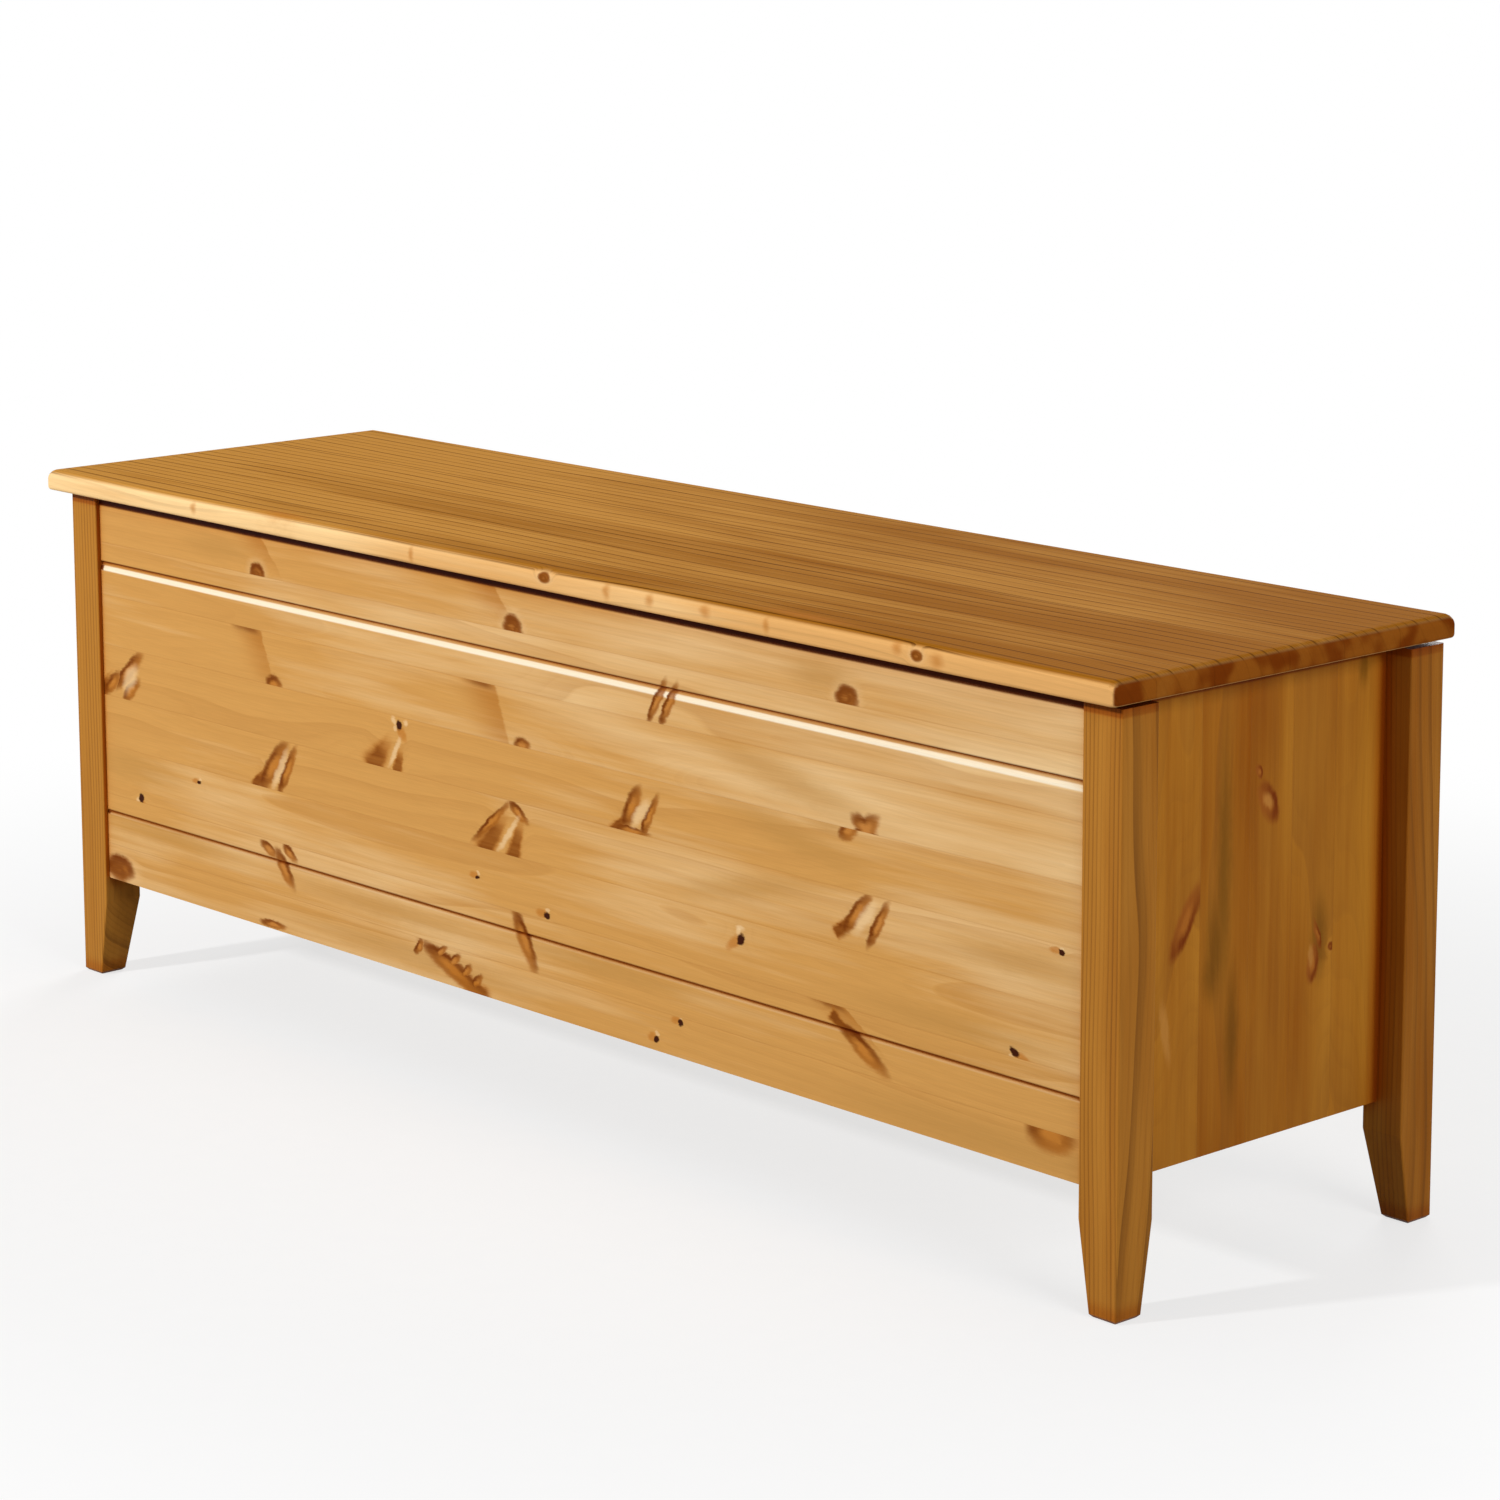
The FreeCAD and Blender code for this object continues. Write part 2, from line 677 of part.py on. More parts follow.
def make_floor(fixings):
    between = "inner_rear - inner_front - 2 * cleat_width"
    long_length, behind_front = "2 * inner_end", "inner_front + cleat_width"
    cleats = (
        ("floor_cleat_front", "-inner_end", "inner_front", long_length, "cleat_width"),
        ("floor_cleat_rear", "-inner_end", "inner_rear - cleat_width", long_length, "cleat_width"),
        ("floor_cleat_left", "-inner_end", behind_front, "cleat_width", between),
        ("floor_cleat_right", "inner_end - cleat_width", behind_front, "cleat_width", between),
        ("floor_bearer", "-bearer_width / 2", behind_front, "bearer_width", between),
    )
    for label, x, y, length, width in cleats:
        blank = board(label + "_stock", (x, y, "cleat_base"), length, width, "cleat_height")
        drilled(label, blank, fixings["cleats"], fixings["floor"], fixings["bearer"])
    floor_corner = ("-inner_end + floor_clearance", "inner_front + floor_clearance", "floor_base")
    floor = board("floor_sheet", floor_corner, "2 * (inner_end - floor_clearance)",
                  "inner_rear - inner_front - 2 * floor_clearance", "floor_thickness")
    drilled("floor_panel", floor, fixings["floor"])


# ---------------------------------------------------------------- hinges

def make_leaf(name, first_knuckle, knuckles):
    """A hinge leaf under its pin's axis, folded flat towards -Y, with alternate knuckles."""
    half_length, pitch = "hinge_length / 2", "knuckle_pitch"
    body = new_body(name)
    plate = new_sketch(body, "XY", "-knuckle_radius")
    draw_rectangle(plate, "-" + half_length, "-leaf_width", half_length, "0")
    add_pad(body, plate, "leaf_thickness")
    first_notch = 1 - first_knuckle
    notch_start = "-%s + %d * %s" % (half_length, first_notch, pitch)
    notch = new_sketch(body, "XY", "-knuckle_radius")
    draw_rectangle(notch, notch_start, "-(knuckle_radius + leaf_notch_clearance)",
                   "%s + %s" % (notch_start, pitch), "0")
    cut = add_pocket(body, notch, reverse=True)
    repeat_along_x(body, cut, "2 * " + pitch, CASE_KNUCKLES + LID_KNUCKLES - knuckles)
    start = "-%s + %d * %s + knuckle_play / 2" % (half_length, first_knuckle, pitch)
    barrel = new_sketch(body, "YZ", start)
    draw_circle(barrel, "0", "0", "knuckle_radius")
    knuckle = add_pad(body, barrel, pitch + " - knuckle_play")
    repeat_along_x(body, knuckle, "2 * " + pitch, knuckles)
    bore = new_sketch(body, "YZ", "-" + half_length)
    draw_circle(bore, "0", "0", "pin_diameter / 2 + pin_clearance")
    add_pocket(body, bore, reverse=True)
    return body


def hinge_screw_spots(height, z_axis):
    """Three screws in each hinge's leaf, along the middle of the back panel's edge."""
    turn = facing((0, 0, z_axis), (1, 0, 0))
    return [("%d * hinge_x + %d * hinge_screw_spacing" % (hinge, step), "rear_middle", height, turn)
            for hinge, _ in PLACES for step in ROW_OF_THREE]


def make_hinge_fixings():
    screw = make_screw("hinge", "hinge_screw_length")
    case_level = "hinge_height - knuckle_radius + leaf_thickness"
    lid_level = "hinge_height + knuckle_radius - leaf_thickness"
    return {
        "case": fasteners("hinge_case_screws", screw, hinge_screw_spots(case_level, 1)),
        "lid": fasteners("hinge_lid_screws", screw, hinge_screw_spots(lid_level, -1)),
    }


def make_hinges(fixings):
    case_leaf = make_leaf("case_leaf", 0, CASE_KNUCKLES)
    lid_leaf = make_leaf("lid_leaf", 1, LID_KNUCKLES)
    half = "hinge_length / 2"
    head_top = half + " + pin_head_length"
    pin = turned("hinge_pin", [
        ("0", "-" + half),
        ("pin_diameter / 2", "-" + half),
        ("pin_diameter / 2", half),
        ("pin_head_diameter / 2", half),
        ("pin_head_diameter / 2", head_top + " - pin_head_bevel"),
        ("pin_head_diameter / 2 - pin_head_bevel", head_top),
        ("0", head_top),
    ])
    folded_over = facing((0, 0, -1), (-1, 0, 0))
    for step, hinge_name in PLACES:
        x = "%d * hinge_x" % step
        for source, prefix, turn, bores in ((case_leaf, "hinge_case_leaf_", None, fixings["case"]),
                                            (lid_leaf, "hinge_lid_leaf_", folded_over, fixings["lid"])):
            leaf = doc.addObject("App::Link", prefix + hinge_name + "_stock")
            leaf.setLink(source)
            place(leaf, x, "case_rear", "hinge_height", turn)
            drilled(prefix + hinge_name, leaf, bores)
        rod = doc.addObject("App::Link", "pin_" + hinge_name)
        rod.setLink(pin)
        place(rod, x, "case_rear", "hinge_height", facing((1, 0, 0), (0, 0, 1)))
        keep(rod, "hinge_pin_" + hinge_name)


# ---------------------------------------------------------------- lid stays

def make_stud():
    """A stay stud: screw towards -Z, then flange, collar, shaft and head towards +Z."""
    collar_top = "(stud_flange_length + stud_collar_length)"
    shaft_top = "(%s + arm_thickness + 2 * stay_side_play)" % collar_top
    head_top = shaft_top + " + stud_head_length"
    return turned("stay_stud", [
        ("0", "-stud_screw_length"),
        ("stud_screw_diameter / 2", "stud_screw_diameter / 2 - stud_screw_length"),
        ("stud_screw_diameter / 2", "0"),
        ("stud_flange_diameter / 2", "0"),
        ("stud_flange_diameter / 2", "stud_flange_length"),
        ("stud_collar_diameter / 2", "stud_flange_length"),
        ("stud_collar_diameter / 2", collar_top),
        ("stud_diameter / 2", collar_top),
        ("stud_diameter / 2", shaft_top),
        ("stud_head_diameter / 2", shaft_top),
        ("stud_head_diameter / 2", head_top + " - stud_head_bevel"),
        ("stud_head_diameter / 2 - stud_head_bevel", head_top),
        ("0", head_top),
    ])


def make_stud_bore():
    """What a stud's screw needs in the side panel."""
    radius, depth = grown("stud_screw_diameter / 2", True), "-" + grown("stud_screw_length", True)
    return turned("stud_bore", [("0", depth), (radius, depth), (radius, "0"), ("0", "0")])


def make_arm():
    """A stay arm along its own X: pivot hole at its origin, long slot for the stud."""
    body = new_body("stay_arm")
    outline = new_sketch(body, "XY")
    draw_slot(outline, "0", "stay_open_reach", "arm_width / 2")
    add_pad(body, outline, "arm_thickness")
    slot = new_sketch(body, "XY")
    draw_slot(slot, "stay_closed_reach", "stay_open_reach", "stud_diameter / 2 + slot_clearance")
    add_pocket(body, slot, reverse=True)
    pivot = new_sketch(body, "XY")
    draw_circle(pivot, "0", "0", "rivet_diameter / 2 + pin_clearance")
    add_pocket(body, pivot, reverse=True)
    return body


def make_bracket():
    """A lid bracket: flange under the lid along its own +X, ear hanging down at its origin."""
    body = new_body("stay_bracket")
    flange = new_sketch(body, "XY")
    draw_rectangle(flange, "0", "-bracket_length / 2", "bracket_reach", "bracket_length / 2")
    add_pad(body, flange, "bracket_thickness", reverse=True)
    ear = new_sketch(body, "YZ")
    draw_rectangle(ear, "-arm_width / 2", "-pivot_drop", "arm_width / 2", "0")
    add_pad(body, ear, "bracket_thickness")
    tip = new_sketch(body, "YZ")
    draw_circle(tip, "0", "-pivot_drop", "arm_width / 2")
    add_pad(body, tip, "bracket_thickness")
    hole = new_sketch(body, "YZ")
    draw_circle(hole, "0", "-pivot_drop", "rivet_diameter / 2 + pin_clearance")
    add_pocket(body, hole, reverse=True)
    return body


def make_rivet():
    """A pivot rivet along its own Z, from the outer head at its origin through arm and ear."""
    grip = "(rivet_head_length + stay_side_play + arm_thickness + stay_side_play + bracket_thickness)"
    inner_top = grip + " + rivet_head_length"
    head, shank = "rivet_head_diameter / 2", "rivet_diameter / 2"
    return turned("stay_rivet", [
        ("0", "0"),
        (head + " - rivet_head_bevel", "0"),
        (head, "rivet_head_bevel"),
        (head, "rivet_head_length"),
        (shank, "rivet_head_length"),
        (shank, grip),
        (head, grip),
        (head, inner_top + " - rivet_head_bevel"),
        (head + " - rivet_head_bevel", inner_top),
        ("0", inner_top),
    ])


def make_stay_fixings():
    """Screws of the lid brackets, and the bores of the studs in the side panels."""
    bracket_spots, stud_spots = [], []
    for side, _ in SIDES:
        x = "%d * (inner_end - ear_inset - (bracket_thickness + bracket_reach) / 2)" % side
        for way in BOTH_WAYS:
            y = "pivot_y + %d * bracket_screw_spacing / 2" % way
            turn = facing((0, 0, -1), (1, 0, 0))
            bracket_spots.append((x, y, "lid_underside - bracket_thickness", turn))
        stud_turn = facing((-side, 0, 0), (0, 0, 1))
        stud_spots.append(("%d * inner_end" % side, "stud_y", "stud_z", stud_turn))
    return {
        "brackets": fasteners("stay_bracket_screws", make_screw("wood", "bracket_screw_length"),
                              bracket_spots),
        "studs": copies("stud_bores", make_stud_bore(), stud_spots),
        "stud_spots": stud_spots,
    }


def make_stays(fixings):
    arm, bracket, rivet, stud = make_arm(), make_bracket(), make_rivet(), make_stud()
    lean = FreeCAD.Rotation(FreeCAD.Vector(1, 0, 0), value("arm_lean"))
    arm_turn = lean * FreeCAD.Rotation(FreeCAD.Vector(0, 1, 0), 90)
    for (side, side_name), stud_spot in zip(SIDES, fixings["stud_spots"]):
        inward = (-side, 0, 0)
        arm_start = "(arm_inset + arm_thickness)" if side == RIGHT else "arm_inset"
        arm_x = "%d * (inner_end - %s)" % (side, arm_start)
        rivet_x = "%d * (inner_end - arm_inset + stay_side_play + rivet_head_length)" % side
        pieces = (
            ("stay_stud_", stud, stud_spot),
            ("stay_arm_", arm, (arm_x, "pivot_y", "pivot_z", arm_turn)),
            ("stay_rivet_", rivet, (rivet_x, "pivot_y", "pivot_z", facing(inward, (0, 0, 1)))),
        )
        for prefix, source, spot in pieces:
            link = doc.addObject("App::Link", prefix + side_name + "_copy")
            link.setLink(source)
            keep(place(link, *spot), prefix + side_name)
        plate = doc.addObject("App::Link", "bracket_%s_stock" % side_name)
        plate.setLink(bracket)
        place(plate, "%d * (inner_end - ear_inset)" % side, "pivot_y", "lid_underside",
              facing((0, 0, 1), inward))
        drilled("stay_bracket_" + side_name, plate, fixings["brackets"])


# ---------------------------------------------------------------- lid

def make_batten_screws():
    turn = facing((0, 0, -1), (1, 0, 0))
    spots = [("%d * batten_x" % batten, "cavity_middle + %d * batten_screw_spacing" % step,
              "lid_underside - batten_thickness", turn)
             for batten, _ in PLACES for step in ROW_OF_THREE]
    return fasteners("batten_screws", make_screw("wood", "batten_screw_length"), spots)


def make_battens(screw_bores):
    """Three battens across the underside of the lid, bevelled at both ends."""
    length = "(inner_rear - inner_front - 2 * batten_end_clearance)"
    body = new_body("batten")
    section = new_sketch(body, "XY")
    draw_rectangle(section, "-batten_width / 2", "-%s / 2" % length, "batten_width / 2", length + " / 2")
    add_pad(body, section, "batten_thickness", reverse=True)
    low, half = value("-batten_thickness"), value(length) / 2
    bevel_edges(body, "batten_end_bevel", lambda e: lies_at(e, "z", low)
                and (lies_at(e, "y", half) or lies_at(e, "y", -half)))
    for step, batten_name in PLACES:
        batten = doc.addObject("App::Link", "batten_%s_stock" % batten_name)
        batten.setLink(body)
        place(batten, "%d * batten_x" % step, "cavity_middle", "lid_underside")
        drilled("lid_batten_" + batten_name, batten, screw_bores)


def make_lid_board(*bores):
    """The lid board, with a full round above, a small one below and rounded corners."""
    width = "(case_depth + lid_front_overhang + lid_rear_overhang)"
    half_length = "(case_length / 2 + lid_end_overhang)"
    body = new_body("lid_blank")
    outline = new_sketch(body, "XY")
    draw_rectangle(outline, "-" + half_length, "0", half_length, width)
    add_pad(body, outline, "lid_thickness")
    top = value("lid_thickness")
    round_edges(body, "lid_corner_round", lambda e: not lies_at(e, "z", 0) and not lies_at(e, "z", top))
    round_edges(body, "lid_top_round", lambda e: lies_at(e, "z", top))
    round_edges(body, "lid_under_round", lambda e: lies_at(e, "z", 0))
    place(body, "0", "case_front - lid_front_overhang", "lid_underside")
    drilled("lid_board", body, *bores)


def make_lid_pads():
    """Rubber pads on the front legs and along the front panel's top edge."""
    leg_x = "case_length / 2 - leg_section / 2"
    spots = [("%d * (%s)" % (side, leg_x), "case_front + leg_section / 2", "case_height", None)
             for side, _ in SIDES]
    spots += [("%d * pad_x" % side, "front_middle", "case_height", None) for side, _ in SIDES]
    keep(copies("lid_pads_group", make_pad(), spots), "lid_pads")


# ---------------------------------------------------------------- the whole chest

def build_chest():
    fill_sheet()
    joints = make_case_joints()
    floor_fixings = make_floor_fixings()
    hinge_fixings = make_hinge_fixings()
    stay_fixings = make_stay_fixings()
    batten_bores = make_batten_screws()
    make_legs(joints)
    make_front_panel(joints, floor_fixings["cleats"])
    make_plain_panels(joints, floor_fixings["cleats"], hinge_fixings["case"], stay_fixings["studs"])
    make_floor(floor_fixings)
    make_hinges(hinge_fixings)
    make_stays(stay_fixings)
    make_battens(batten_bores)
    make_lid_board(batten_bores, hinge_fixings["lid"], stay_fixings["brackets"])
    make_lid_pads()
    doc.recompute()


def export_nodes():
    """Tests every object and each sub-part's shape, then writes one file for each node."""
    for thing in doc.Objects:
        if "Invalid" in thing.State or "Error" in thing.State:
            raise ValueError("%s did not build: %s" % (thing.Name, thing.State))
    for node in nodes:
        shape = Part.getShape(node)
        if shape.isNull() or not shape.isValid() or not shape.Solids:
            raise ValueError("%s has no sound shape" % node.Label)
    os.makedirs("parts", exist_ok=True)
    for node in nodes:
        Part.getShape(node).exportStep("parts/%s.step" % node.Label)


build_chest()
export_nodes()
print("%d nodes" % len(nodes))
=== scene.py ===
"""Finishes, light and camera for the pine blanket chest."""
import dataclasses
import math
import random

import bmesh
import bpy
from mathutils import Matrix, Vector


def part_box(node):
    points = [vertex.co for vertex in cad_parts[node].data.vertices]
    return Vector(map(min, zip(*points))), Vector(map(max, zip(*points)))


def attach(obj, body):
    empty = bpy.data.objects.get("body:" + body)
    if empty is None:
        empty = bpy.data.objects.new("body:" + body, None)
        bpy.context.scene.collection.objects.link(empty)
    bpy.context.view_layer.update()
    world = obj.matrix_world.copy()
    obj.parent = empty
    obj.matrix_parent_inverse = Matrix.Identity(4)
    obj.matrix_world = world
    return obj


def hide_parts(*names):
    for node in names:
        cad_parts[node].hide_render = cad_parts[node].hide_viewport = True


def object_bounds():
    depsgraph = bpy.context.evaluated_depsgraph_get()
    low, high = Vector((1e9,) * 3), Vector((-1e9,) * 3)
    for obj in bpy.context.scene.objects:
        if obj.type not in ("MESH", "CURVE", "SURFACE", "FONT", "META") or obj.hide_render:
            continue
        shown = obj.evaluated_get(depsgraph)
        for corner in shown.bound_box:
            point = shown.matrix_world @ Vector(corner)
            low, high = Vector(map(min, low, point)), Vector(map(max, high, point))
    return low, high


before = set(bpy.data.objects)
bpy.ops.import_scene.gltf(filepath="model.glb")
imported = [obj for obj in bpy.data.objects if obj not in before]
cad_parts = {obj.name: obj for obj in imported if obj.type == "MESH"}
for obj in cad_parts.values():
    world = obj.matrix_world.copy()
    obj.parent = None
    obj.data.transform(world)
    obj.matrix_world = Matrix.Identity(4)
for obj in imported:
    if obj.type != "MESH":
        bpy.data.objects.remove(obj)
CAD_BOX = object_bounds()

bl_info = {
    "name": "Pine Blanket Chest",
    "version": (1, 0, 0),
    "blender": (4, 5, 0),
    "location": "3D View > Sidebar > Chest",
    "description": "Finishes the pieces of a pine blanket chest and sets up its floor, light and camera",
    "category": "Object",
}

X, Y, Z = 0, 1, 2
MILLIMETRES = 1000.0
WHITE = (1.0, 1.0, 1.0)
LEGS = {  # how much warmer each leg is than usual; the rear right leg is made paler as painted light against the shade it stands in
    "leg_front_left": -0.7, "leg_front_right": 0.05, "leg_rear_left": 0.0, "leg_rear_right": -0.05}
LONG_CLEATS = ("floor_cleat_front", "floor_cleat_rear")
SHORT_CLEATS = ("floor_cleat_left", "floor_cleat_right")
BATTENS = ("lid_batten_left", "lid_batten_middle", "lid_batten_right")
DOWELS = ("panel_dowels", "side_dowels", "bearer_dowels")
HINGE_PIECES = tuple(f"hinge_{piece}_{place}" for piece in ("case_leaf", "lid_leaf", "pin")
                     for place in ("left", "middle", "right"))
STAY_PIECES = tuple(f"stay_{piece}_{side}" for piece in ("arm", "bracket", "rivet", "stud")
                    for side in ("left", "right"))


def ink(red, green, blue):
    """A colour as picked on screen, 0 to 255, turned into the linear colour that shaders take."""
    def linear(level):
        part = level / 255
        return part / 12.92 if part <= 0.04045 else ((part + 0.055) / 1.055) ** 2.4
    return linear(red), linear(green), linear(blue)


# ---------------------------------------------------------------- settings

def colour_of(name, description, red, green, blue):
    """A colour setting with its default as picked on screen."""
    return bpy.props.FloatVectorProperty(name=name, description=description, size=3, subtype="COLOR",
                                         min=0.0, max=1.0, default=ink(red, green, blue))


class ChestPineSettings(bpy.types.PropertyGroup):
    """Colours and figure of the pine."""

    panel_pale: colour_of("Panel, pale", "Light wood of the front and back panels", 236, 202, 150)
    panel_warm: colour_of("Panel, warm", "Warm wood of the front and back panels", 206, 152, 82)
    # The side panels' pine is partly darker of its own and partly painted shade: it is darker and more
    # saturated than the same pine on the front.
    side_pale: colour_of("Side, pale", "Light wood of the side panels", 186, 124, 40)
    side_warm: colour_of("Side, warm", "Warm wood of the side panels", 148, 82, 14)
    side_shade: colour_of("Side, shade", "Soft shadows in the figure of the side panels", 98, 62, 10)
    side_core: colour_of("Side, knot", "Heart of a knot on the side panels", 172, 100, 36)
    side_knot: colour_of("Side, knot rim", "Rim of a knot on the side panels", 118, 50, 6)
    side_fleck: colour_of("Side, fleck", "Pale flecks in the side panels", 196, 136, 64)
    leg_pale: colour_of("Leg, pale", "Light wood of the legs", 182, 122, 46)
    leg_warm: colour_of("Leg, warm", "Warm wood of the legs", 150, 88, 22)
    # The lid's top is partly darker of its own and partly painted shade.
    lid_pale: colour_of("Lid, pale", "Light wood of the lid's top", 198, 140, 62)
    lid_warm: colour_of("Lid, warm", "Warm wood of the lid's top", 156, 97, 20)
    # The lid's edges are painted paler, as a lit copy of the lid's wood; the underside takes the same
    # colours.
    edge_pale: colour_of("Lid edge, pale", "Light wood of the lid's edges and underside", 244, 206, 148)
    edge_warm: colour_of("Lid edge, warm", "Warm wood of the lid's edges and underside", 222, 168, 102)
    inner_pale: colour_of("Inner, pale", "Light wood of the cleats, bearer and battens", 230, 194, 140)
    inner_warm: colour_of("Inner, warm", "Warm wood of the cleats, bearer and battens", 206, 158, 98)
    ply_pale: colour_of("Plywood, pale", "Light veneer of the floor", 232, 204, 158)
    ply_warm: colour_of("Plywood, warm", "Warm veneer of the floor", 212, 172, 118)
    line: colour_of("Year line", "Summer wood at the end of each year", 158, 98, 38)
    shade: colour_of("Shade", "Wide soft shadows in the figure", 188, 138, 72)
    flame: colour_of("Flame", "Resin-dark wood beside a knot", 178, 114, 44)
    core: colour_of("Knot", "Heart of a knot", 186, 114, 38)
    knot: colour_of("Knot rim", "Rim of a knot", 116, 56, 8)
    bark: colour_of("Pin knot", "Nearly black pin knots", 58, 22, 6)
    fleck: colour_of("Fleck", "Pale flecks beside a knot", 236, 202, 152)
    # Painted highlight on the lower side of a groove.
    milled: colour_of("Milled edge", "Bare wood on the lower side of a groove", 252, 238, 210)
    lid_line: colour_of("Lid line", "Summer wood on the lid's top", 86, 46, 8)


class ChestStageSettings(bpy.types.PropertyGroup):
    """Lamps and camera."""

    camera_place: bpy.props.FloatVectorProperty(
        name="Camera place", description="Where the camera stands", size=3, subtype="TRANSLATION",
        unit="LENGTH", default=(2.58535, -2.28664, 1.04704))
    camera_yaw: bpy.props.FloatProperty(
        name="Camera yaw", description="Turn to the right of a view along Y", unit="ROTATION",
        default=-0.83067)
    camera_pitch: bpy.props.FloatProperty(
        name="Camera pitch", description="Tilt above the level", unit="ROTATION", default=-0.16643)
    camera_roll: bpy.props.FloatProperty(
        name="Camera roll", description="Turn about the line of sight", unit="ROTATION", default=-0.00254)
    lens: bpy.props.FloatProperty(
        name="Lens", description="Focal length", subtype="DISTANCE_CAMERA", default=103.93)
    shift: bpy.props.FloatProperty(
        name="Shift", description="Vertical shift of the frame, as a share of its width", default=-0.15)
    key_power: bpy.props.FloatProperty(
        name="Key lamp", description="Power of the lamp in front", subtype="POWER", default=205.0)
    top_power: bpy.props.FloatProperty(
        name="Top lamp", description="Power of the lamp overhead", subtype="POWER", default=12.0)
    fill_power: bpy.props.FloatProperty(
        name="Fill lamp", description="Power of the lamp on the right", subtype="POWER", default=70.0)
    back_power: bpy.props.FloatProperty(
        name="Back lamp", description="Power of the lamp behind", subtype="POWER", default=110.0)
    ambient: bpy.props.FloatProperty(
        name="Ambient", description="Strength of the even light from all round", min=0.0, default=0.16)


# ---------------------------------------------------------------- shader arithmetic

class Wire:
    """A node socket that can stand in an expression; each sum or product adds its node."""

    def __init__(self, tree, socket=None):
        self.tree = tree
        self.socket = socket

    def node(self, kind, settings, sockets, out=0):
        """Adds a node: its settings first, then the values or links of its sockets."""
        made = self.tree.nodes.new(kind)
        for name, value in settings.items():
            setattr(made, name, value)
        for name, value in sockets.items():
            socket = made.inputs[name]
            if isinstance(value, (Wire, list)):
                for source in value if isinstance(value, list) else [value]:
                    self.tree.links.new(source.socket, socket)
            elif socket.type == "RGBA":
                socket.default_value = (*value[:3], 1.0)
            elif socket.type == "VECTOR" and not hasattr(value, "__len__"):
                socket.default_value = (value,) * 3
            else:
                socket.default_value = value
        return Wire(self.tree, made.outputs[out] if made.outputs else None)

    def math(self, operation, *others, out=0):
        """A Math node, or a Vector Math node as soon as one of the terms is a vector."""
        terms = dict(enumerate((self, *others)))
        vector = any(is_vector(term) for term in terms.values())
        kind = "ShaderNodeVectorMath" if vector else "ShaderNodeMath"
        return self.node(kind, {"operation": operation}, terms, out)

    def __add__(self, other):
        return self.math("ADD", other)

    def __radd__(self, other):
        return self + other

    def __sub__(self, other):
        return self.math("SUBTRACT", other)

    def __rsub__(self, other):
        return self.node("ShaderNodeMath", {"operation": "SUBTRACT"}, {0: other, 1: self})

    def __mul__(self, other):
        return self.math("MULTIPLY", other)

    def __rmul__(self, other):
        return self * other

    def __truediv__(self, other):
        return self.math("DIVIDE", other)

    def __gt__(self, other):
        return self.math("GREATER_THAN", other)

    def __abs__(self):
        return self.math("ABSOLUTE")

    def rise(self, low, high):
        """0 below low and 1 above high with a smooth step between, or the reverse if high is less."""
        if high < low:
            return 1 - self.rise(high, low)
        return self.node("ShaderNodeMapRange", {"interpolation_type": "SMOOTHSTEP", "clamp": True},
                         {"Value": self, "From Min": low, "From Max": high})

    def blend(self, first, second):
        """This wire as a factor from the first number, vector or colour to the second."""
        kind, start, out = mix_sockets(first, second)
        return self.node("ShaderNodeMix", {"data_type": kind, "clamp_factor": True},
                         {0: self, start: first, start + 1: second}, out)

    def parts(self):
        """The three parts of a vector or colour."""
        split = self.node("ShaderNodeSeparateXYZ", {}, {0: self}).socket.node
        return [Wire(self.tree, socket) for socket in split.outputs]


def is_vector(term):
    """Whether a term of an expression is a vector or a colour."""
    if isinstance(term, Wire):
        return term.socket.type in ("VECTOR", "RGBA")
    return hasattr(term, "__len__")


def mix_sockets(first, second):
    """A Mix node's data type for two terms, its first socket for them and its output."""
    kinds = {term.socket.type if isinstance(term, Wire) else "RGBA" if is_vector(term) else "VALUE"
             for term in (first, second)}
    if "VECTOR" in kinds:
        return "VECTOR", 4, 1
    return ("RGBA", 6, 2) if "RGBA" in kinds else ("FLOAT", 2, 0)


def new_finish(name):
    """A new material with an empty tree, and a wire to build it with."""
    material = bpy.data.materials.new(name)
    material.use_nodes = True
    material.node_tree.nodes.clear()
    return material, Wire(material.node_tree)


def surface(wire, sockets):
    """Ends a finish in one Principled shader."""
    shader = wire.node("ShaderNodeBsdfPrincipled", {}, sockets)
    wire.node("ShaderNodeOutputMaterial", {}, {"Surface": shader})


def object_point(wire):
    """The point on the piece, in millimetres of the chest's own frame."""
    return wire.node("ShaderNodeTexCoord", {}, {}, "Object") * MILLIMETRES


def noise(point, scale, detail=2.0, roughness=0.5, out="Fac"):
    """Noise with one scale, or one for each axis, in features per millimetre."""
    return point.node("ShaderNodeTexNoise", {"noise_dimensions": "3D"},
                      {"Vector": point * scale, "Scale": 1.0, "Detail": detail, "Roughness": roughness}, out)


def chance(number, out="Value"):
    """A value or a colour drawn by chance for each number."""
    return number.node("ShaderNodeTexWhiteNoise", {"noise_dimensions": "1D"}, {"W": number}, out)


def bumps(height, strength, metres):
    """The normal of a surface whose bumps are so many metres high."""
    return height.node("ShaderNodeBump", {}, {"Strength": strength, "Distance": metres, "Height": height},
                       "Normal")


def dress(names, material):
    """Puts one finish in every slot of the named pieces."""
    for name in names:
        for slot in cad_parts[name].material_slots:
            slot.material = material


def new_object(name, data):
    """An object in the scene that shows a mesh, a lamp or a camera."""
    made = bpy.data.objects.new(name, data)
    bpy.context.scene.collection.objects.link(made)
    return made


# ---------------------------------------------------------------- pine

# Features per millimetre along the grain, across it and through the board.
STREAK_SCALE = (0.004, 0.13, 0.13)
FIBRE_SCALE = (0.03, 1.2, 1.2)
CLOUD_SCALE = (0.0035, 0.02, 0.02)
SWAY_SCALE = (0.0018, 0.008, 0.008)
WOBBLE_SCALE = (0.06, 0.15, 0.15)
PORE_SCALE = (0.01, 0.035, 0.035)

# The step between two staves' chances, the fine rings in a year and the share at which its line ends.
STAVE_STEP = 3.7
FINE_RINGS = 4.3
RING_END = 0.97
